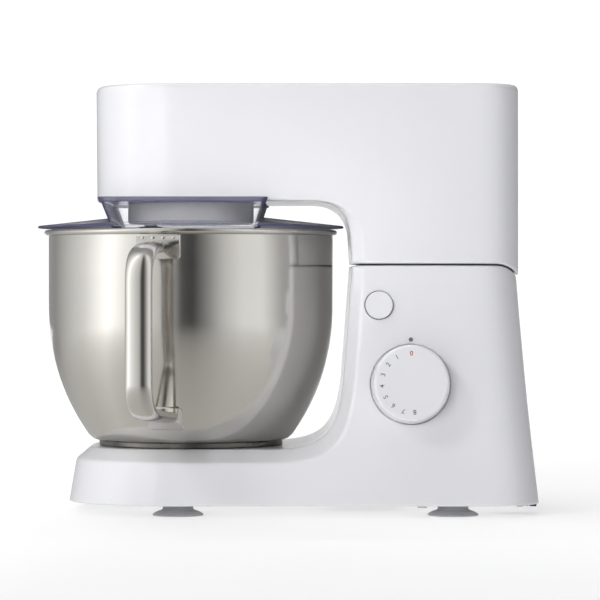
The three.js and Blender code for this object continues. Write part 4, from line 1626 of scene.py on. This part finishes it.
@dataclass
class SplashGuard:
    """The clear guard: a shallow cone over the bowl with a chute round the head."""

    bench: Bench
    head: Head
    rim: float = 114.4
    low: float = 211.0
    high: float = 231.0
    front: Point = (-55.6, -63.3)
    rear: Point = (50.8, 57.3)
    half: Point = (88.0, 96.0)
    corner: float = 10.0
    wall: float = 2.0
    floor: float = 209.4
    lip: float = 227.4
    lip_reach: float = 1.2

    def chute(self, inset: float, z: Point) -> Solid:
        """The chute's form between two heights.

        Args:
            inset: how far it is moved inwards.
            z: the two heights.

        Returns:
            The solid.
        """

        def ring(height: float) -> Ring:
            """The chute's outline at a height.

            Args:
                height: the height.

            Returns:
                The outline.
            """
            share = (height - self.low) / (self.high - self.low)
            radius = self.corner - inset
            outline = plan_ring(
                mixed(*self.front, share) + inset,
                mixed(*self.rear, share) - inset,
                mixed(*self.half, share) - inset,
                radius,
                radius,
                10,
            )
            return level(outline, height)

        return Solid.loft([ring(z[0]), ring(z[1])])

    def build(self) -> None:
        """Make the guard in one piece."""
        rim = self.rim
        edge = arc(rim - 0.7, 210.5, 0.7, -70, 70, 5)
        guard = Solid.turned([(40, 217), (rim - 1.0, 209.7), *edge, (rim - 0.8, 211.4), (40, 219.6)], 160)
        guard.join(self.chute(0, (self.floor, self.high)))
        guard.join(self.chute(-self.lip_reach, (self.lip, self.high)))
        reach = self.head.half + 1.4
        guard.cut(
            self.chute(self.wall, (205, 235)),
            Solid.box((-90, 90), (-reach, reach), (self.head.underside - 1, 260)),
        )
        guard.keep(Solid.rod(rim, (200, 240), steps=160))
        guard.cut(Solid.box(ACROSS, ACROSS, (195, self.floor)))
        self.bench.settle(guard, "guard_body", "head", "clear_plastic", ["splash_guard"], 30)
        self.tint_edges(guard.body)

    def tint_edges(self, piece: bpy.types.Object) -> None:
        """Dress the lip, the rim and the chute's ends in the deeper tint of a thick edge.

        The chute's other walls and the skirt on its near side get the palest tint.

        Args:
            piece: the placed guard.
        """
        for name in ("clear_plastic_edge", "clear_plastic_wall"):
            piece.data.materials.append(self.bench.palette[name])
        place = self.bench.matrix().inverted()
        foot, slack = 213.0, 0.1
        end, skirt_end, skirt_y = 52.0, 54.0, -40.0
        for face in piece.data.polygons:
            centre = place @ face.center
            above = centre.z > foot
            lip = centre.z > self.lip - slack
            rim = math.hypot(centre.x, centre.y) > self.rim - 1.5 and abs(centre.x) > end
            outwards = math.copysign(1.0, centre.x) * face.normal.x
            side = outwards > 0.7 and above
            wall = abs(face.normal.z) < 0.6 and above
            front = centre.y < skirt_y and abs(centre.x) < skirt_end
            face.material_index = 1 if lip or rim or side else 2 * int(wall or front)


@dataclass
class Tools:
    """The turning hub under the head and the flat beater on it."""

    bench: Bench
    radius: float = 47.0
    offset: float = 30.0

    def hub(self) -> None:
        """Make the hub's drum, with its two bores."""
        r = self.radius
        profile = [
            (0, 213),
            (r - 8, 213),
            (r - 7.4, 213.5),
            (r - 6.6, 213.5),
            (r - 6, 213),
            *arc(r - 2, 215, 2, -90, 0, 6),
            *arc(r - 2, 227, 2, 0, 90, 6),
            (12, 229),
            (12, 250),
            (0, 250),
        ]
        hub = Solid.turned(profile, 96)
        hub.cut(Solid.rod(6.3, (221.7, 260)), Solid.rod(5.3, (205, 235), (-self.offset, 0)))
        self.bench.settle(hub, "hub_drum", "hub", "white_plastic", ["planet_carrier"], 35)

    def beater(self) -> None:
        """Make the flat beater, a cast frame with rounded bars and a socket."""
        right = [(8.6, 190), (12, 176), (46, 170), *arc(45, 152, 18, 80, 0, 10)]
        right += [(63, 104), (59, 88), (52, 72), (40, 60), (24, 56)]
        outline = [*right, *[(-x, z) for x, z in reversed(right)]]
        opening = [(5, 162), (44, 158), (52, 148), (52, 108), (44, 84), (33, 72), (5, 122)]
        lower = [(5, 104), (24, 68), (5, 66)]
        curve = bpy.data.curves.new("beater", "CURVE")
        curve.dimensions = "2D"
        curve.fill_mode = "BOTH"
        ease = 1.4
        curve.extrude = 4.0 - ease
        curve.bevel_depth = ease
        curve.bevel_resolution = 3
        curve.offset = -ease
        holes = [[(side * x, z) for x, z in hole] for hole in (opening, lower) for side in (1, -1)]
        for loop in [outline, *holes]:
            spline = curve.splines.new("POLY")
            spline.points.add(len(loop) - 1)
            for point, (x, z) in zip(spline.points, loop, strict=True):
                point.co = (x, z, 0, 1)
            spline.use_cyclic_u = True
        frame = Solid.drawn(curve).turn(Matrix.Rotation(math.pi / 2, 4, "X"))
        socket = [(5.3, 190), (5.3, 211), (8.2, 211), (9, 210.2), (9, 196), (8.4, 195.4), (8.4, 193.6)]
        socket += [(9, 193), (9, 183), (8.2, 182), (0, 182), (0, 189.7), (5.3, 189.7)]
        frame.merge(Solid.turned(socket, 64))
        frame.turn(Matrix.Translation((-self.offset, 0, 0)))
        self.bench.settle(frame, "beater_frame", "beater", "cast_alloy", ["flat_beater"], 40)

    def build(self) -> None:
        """Make the hub and the beater."""
        self.hub()
        self.beater()


# ----------------------------------------------------------------------- inner pieces


@dataclass
class InnerPieces:
    """The pieces that keep the frame's own shape, each in its slot's finish."""

    bench: Bench
    frame: dict[str, Any]

    def build(self) -> None:
        """Dress every node of the frame by its slot in the record."""
        for entry in self.frame["record"]["subparts"]:
            node = self.frame["nodes"][entry["node"]]
            node.data.materials.clear()
            node.data.materials.append(self.bench.palette[entry["material_slot"]])
            log.info("%s: dressed in %s", entry["node"], entry["material_slot"])


# ----------------------------------------------------------------------------- studio


@dataclass(frozen=True)
class Lamp:
    """One soft lamp, in metres and watts, with the angle that it throws its light over."""

    name: str
    place: Place
    size: Point
    power: float
    target: Place = (0.0, 0.0, 0.16)
    spread: float = 180.0

    def hang(self) -> None:
        """Make the lamp, which polished surfaces don't see."""
        data = bpy.data.lights.new(self.name, "AREA")
        data.shape = "RECTANGLE"
        data.size, data.size_y = self.size
        data.energy = self.power
        data.spread = math.radians(self.spread)
        lamp = bpy.data.objects.new(self.name, data)
        lamp.location = self.place
        aim = Vector(self.target) - Vector(self.place)
        lamp.rotation_euler = aim.to_track_quat("-Z", "Y").to_euler()
        lamp.visible_glossy = False
        bpy.context.scene.collection.objects.link(lamp)


LAMPS = (
    Lamp("lamp_top", (-0.3, -0.2, 1.9), (1.6, 1.2), 13.5),
    Lamp("lamp_left", (-1.7, -0.8, 0.85), (1.0, 1.6), 1.5),
    Lamp("lamp_key", (-1.1, -1.2, 1.25), (0.35, 0.35), 6.5, (0.1, 0.0, 0.12)),
    Lamp("lamp_fill", (-0.6, -1.9, 0.5), (0.9, 0.5), 0.95, (-0.05, 0.0, 0.3), 43.0),
    Lamp("lamp_low", (-0.07, -1.2, 0.16), (0.3, 0.05), 0.02, (-0.07, 0.0, 0.212), 12.0),
    Lamp("lamp_backdrop", (0.0, 1.2, 2.2), (2.0, 0.5), 38.0, (0.0, 3.0, 0.4)),
)

# Brightness of the panels round the mixer, by compass angle: 0 is in front, 90 on the right.
PANELS = (
    (-180.0, 0.36),
    (-137.0, 0.36),
    (-91.0, 1.0),
    (-66.0, 1.80),
    (-50.0, 1.25),
    (-30.0, 0.90),
    (-14.0, 0.66),
    (-6.0, 0.10),
    (4.0, 0.06),
    (15.0, 0.32),
    (28.0, 0.74),
    (42.0, 1.02),
    (60.0, 1.08),
    (78.0, 0.54),
    (100.0, 0.36),
    (180.0, 0.36),
)


@dataclass
class Studio:
    """A pale floor, panels and lamps round the mixer, and the camera."""

    bench: Bench
    lens: float = 180.0
    sensor: float = 36.0
    shift: float = -0.025
    distance: float = 2250.0
    eye: Point = (81.75, 167.4)
    panel_peak: float = 2.0

    def camera(self) -> None:
        """Place the camera level with the bowl, looking along +Y."""
        data = bpy.data.cameras.new("camera")
        data.lens = self.lens
        data.sensor_width = self.sensor
        data.shift_y = self.shift
        data.clip_end = 20.0
        camera = bpy.data.objects.new("camera", data)
        camera.location = self.bench.point(self.eye[0], -self.distance, self.eye[1])
        camera.rotation_euler = (math.pi / 2, 0, 0)
        bpy.context.scene.collection.objects.link(camera)
        bpy.context.scene.camera = camera

    def floor(self) -> None:
        """Lay the floor, which curves up far behind the mixer."""
        profile = [(-4.0, 0.0), (2.0, 0.0), *arc(2.0, 1.0, 1.0, -90, 0, 16), (3.0, 2.6)]
        points = [(x, y, z) for y, z in profile for x in (-3.0, 3.0)]
        faces = [(2 * i, 2 * i + 1, 2 * i + 3, 2 * i + 2) for i in range(len(profile) - 1)]
        floor = self.scenery("studio_floor", points, faces, self.bench.palette["studio_paper"])
        floor.data.shade_smooth()

    @staticmethod
    def scenery(
        name: str, points: Ring, faces: list[tuple[int, ...]], material: bpy.types.Material
    ) -> bpy.types.Object:
        """Make one part of the studio, in metres.

        Args:
            name: its name.
            points: its vertices.
            faces: its faces, as numbers of vertices.
            material: its material.

        Returns:
            The object.
        """
        mesh = bpy.data.meshes.new(name)
        mesh.from_pydata(points, [], faces)
        mesh.materials.append(material)
        made = bpy.data.objects.new(name, mesh)
        bpy.context.scene.collection.objects.link(made)
        return made

    def dome(self) -> None:
        """Wrap the mixer in light and dark panels that only polished surfaces see.

        Towards the bowl's axis, above and below the mixer, they fade to an even grey.
        """
        shader = Shader("studio_panels")
        offset = tuple(-part for part in self.bench.origin)
        moved = shader.node("ShaderNodeVectorMath", {"operation": "ADD"}, {0: shader.place(), 1: offset})
        axes = shader.node("ShaderNodeSeparateXYZ", None, {0: Signal(shader, moved.outputs[0])})
        x, y = Signal(shader, axes.outputs[0]), Signal(shader, axes.outputs[1])
        angle = shader.node("ShaderNodeMath", {"operation": "ARCTAN2"}, {0: x, 1: 0 - y})
        share = Signal(shader, angle.outputs[0]) * (0.5 / math.pi) + 0.5
        peak = self.panel_peak
        greys = [((degrees + 180.0) / 360.0, (bright / peak,) * 3) for degrees, bright in PANELS]
        ramp = shader.node("ShaderNodeValToRGB", {"stops": greys}, {0: share})
        panel = Signal(shader, ramp.outputs[0])
        dimmed = shader.blend(0.88, panel, (0.29, 0.285, 0.275))
        far = ((x * x + y * y) ** 0.5).clipped(0.15, 1.0)
        shader.principled(
            Base_Color=(0.0, 0.0, 0.0),
            Specular_IOR_Level=0.0,
            Emission_Color=shader.blend(far, dimmed, panel),
            Emission_Strength=peak,
        )
        floor = [(radius, 0.001) for radius in (0.01, 0.3, 0.6, 1.2, 2.4)]
        profile = [*floor, (2.6, 0.2), (2.6, 1.6), (2.2, 2.4), (0, 2.9)]
        steps = 48
        turns = [2 * math.pi * i / steps for i in range(steps)]
        ox, oy = self.bench.origin.x, self.bench.origin.y
        points = [(ox + r * math.cos(a), oy + r * math.sin(a), z) for a in turns for r, z in profile]
        count = len(profile)
        faces = []
        for i in range(steps):
            here, there = i * count, ((i + 1) % steps) * count
            faces += [(here + j, here + j + 1, there + j + 1, there + j) for j in range(count - 1)]
        dome = self.scenery("studio_panels", points, faces, shader.material)
        for kind in ("camera", "diffuse", "transmission", "volume_scatter", "shadow"):
            setattr(dome, f"visible_{kind}", False)

    def world(self) -> None:
        """Fill the room with pale light, stronger on the left than on the right."""
        world = bpy.data.worlds.new("room")
        world.use_nodes = True
        nodes, links = world.node_tree.nodes, world.node_tree.links
        background = nodes["Background"]
        background.inputs["Color"].default_value = (0.96, 0.965, 1.0, 1.0)
        axes = nodes.new("ShaderNodeSeparateXYZ")
        links.new(nodes.new("ShaderNodeTexCoord").outputs["Generated"], axes.inputs[0])
        span = nodes.new("ShaderNodeMapRange")
        links.new(axes.outputs["X"], span.inputs["Value"])
        for key, value in (("From Min", -1.0), ("From Max", 1.0), ("To Min", 0.30), ("To Max", 0.08)):
            span.inputs[key].default_value = value
        links.new(span.outputs["Result"], background.inputs["Strength"])
        bpy.context.scene.world = world

    def build(self) -> None:
        """Set up the whole studio."""
        self.camera()
        self.floor()
        self.world()
        self.dome()
        for lamp in LAMPS:
            lamp.hang()
        bpy.context.scene.view_settings.view_transform = "Standard"


def main() -> None:
    """Build the mixer round its frame, in order."""
    logging.basicConfig(level=logging.INFO, format="%(name)s %(message)s")
    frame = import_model()
    bench = Bench(Palette())
    Studio(bench).build()
    InnerPieces(bench, frame).build()
    tilt = Tilt()
    stand = Stand(bench, tilt)
    stand.build()
    Controls(bench, stand).build()
    Bowl(bench).build()
    head = Head(bench, tilt)
    head.build()
    SplashGuard(bench, head).build()
    Tools(bench).build()


if __name__ == "__main__":
    main()
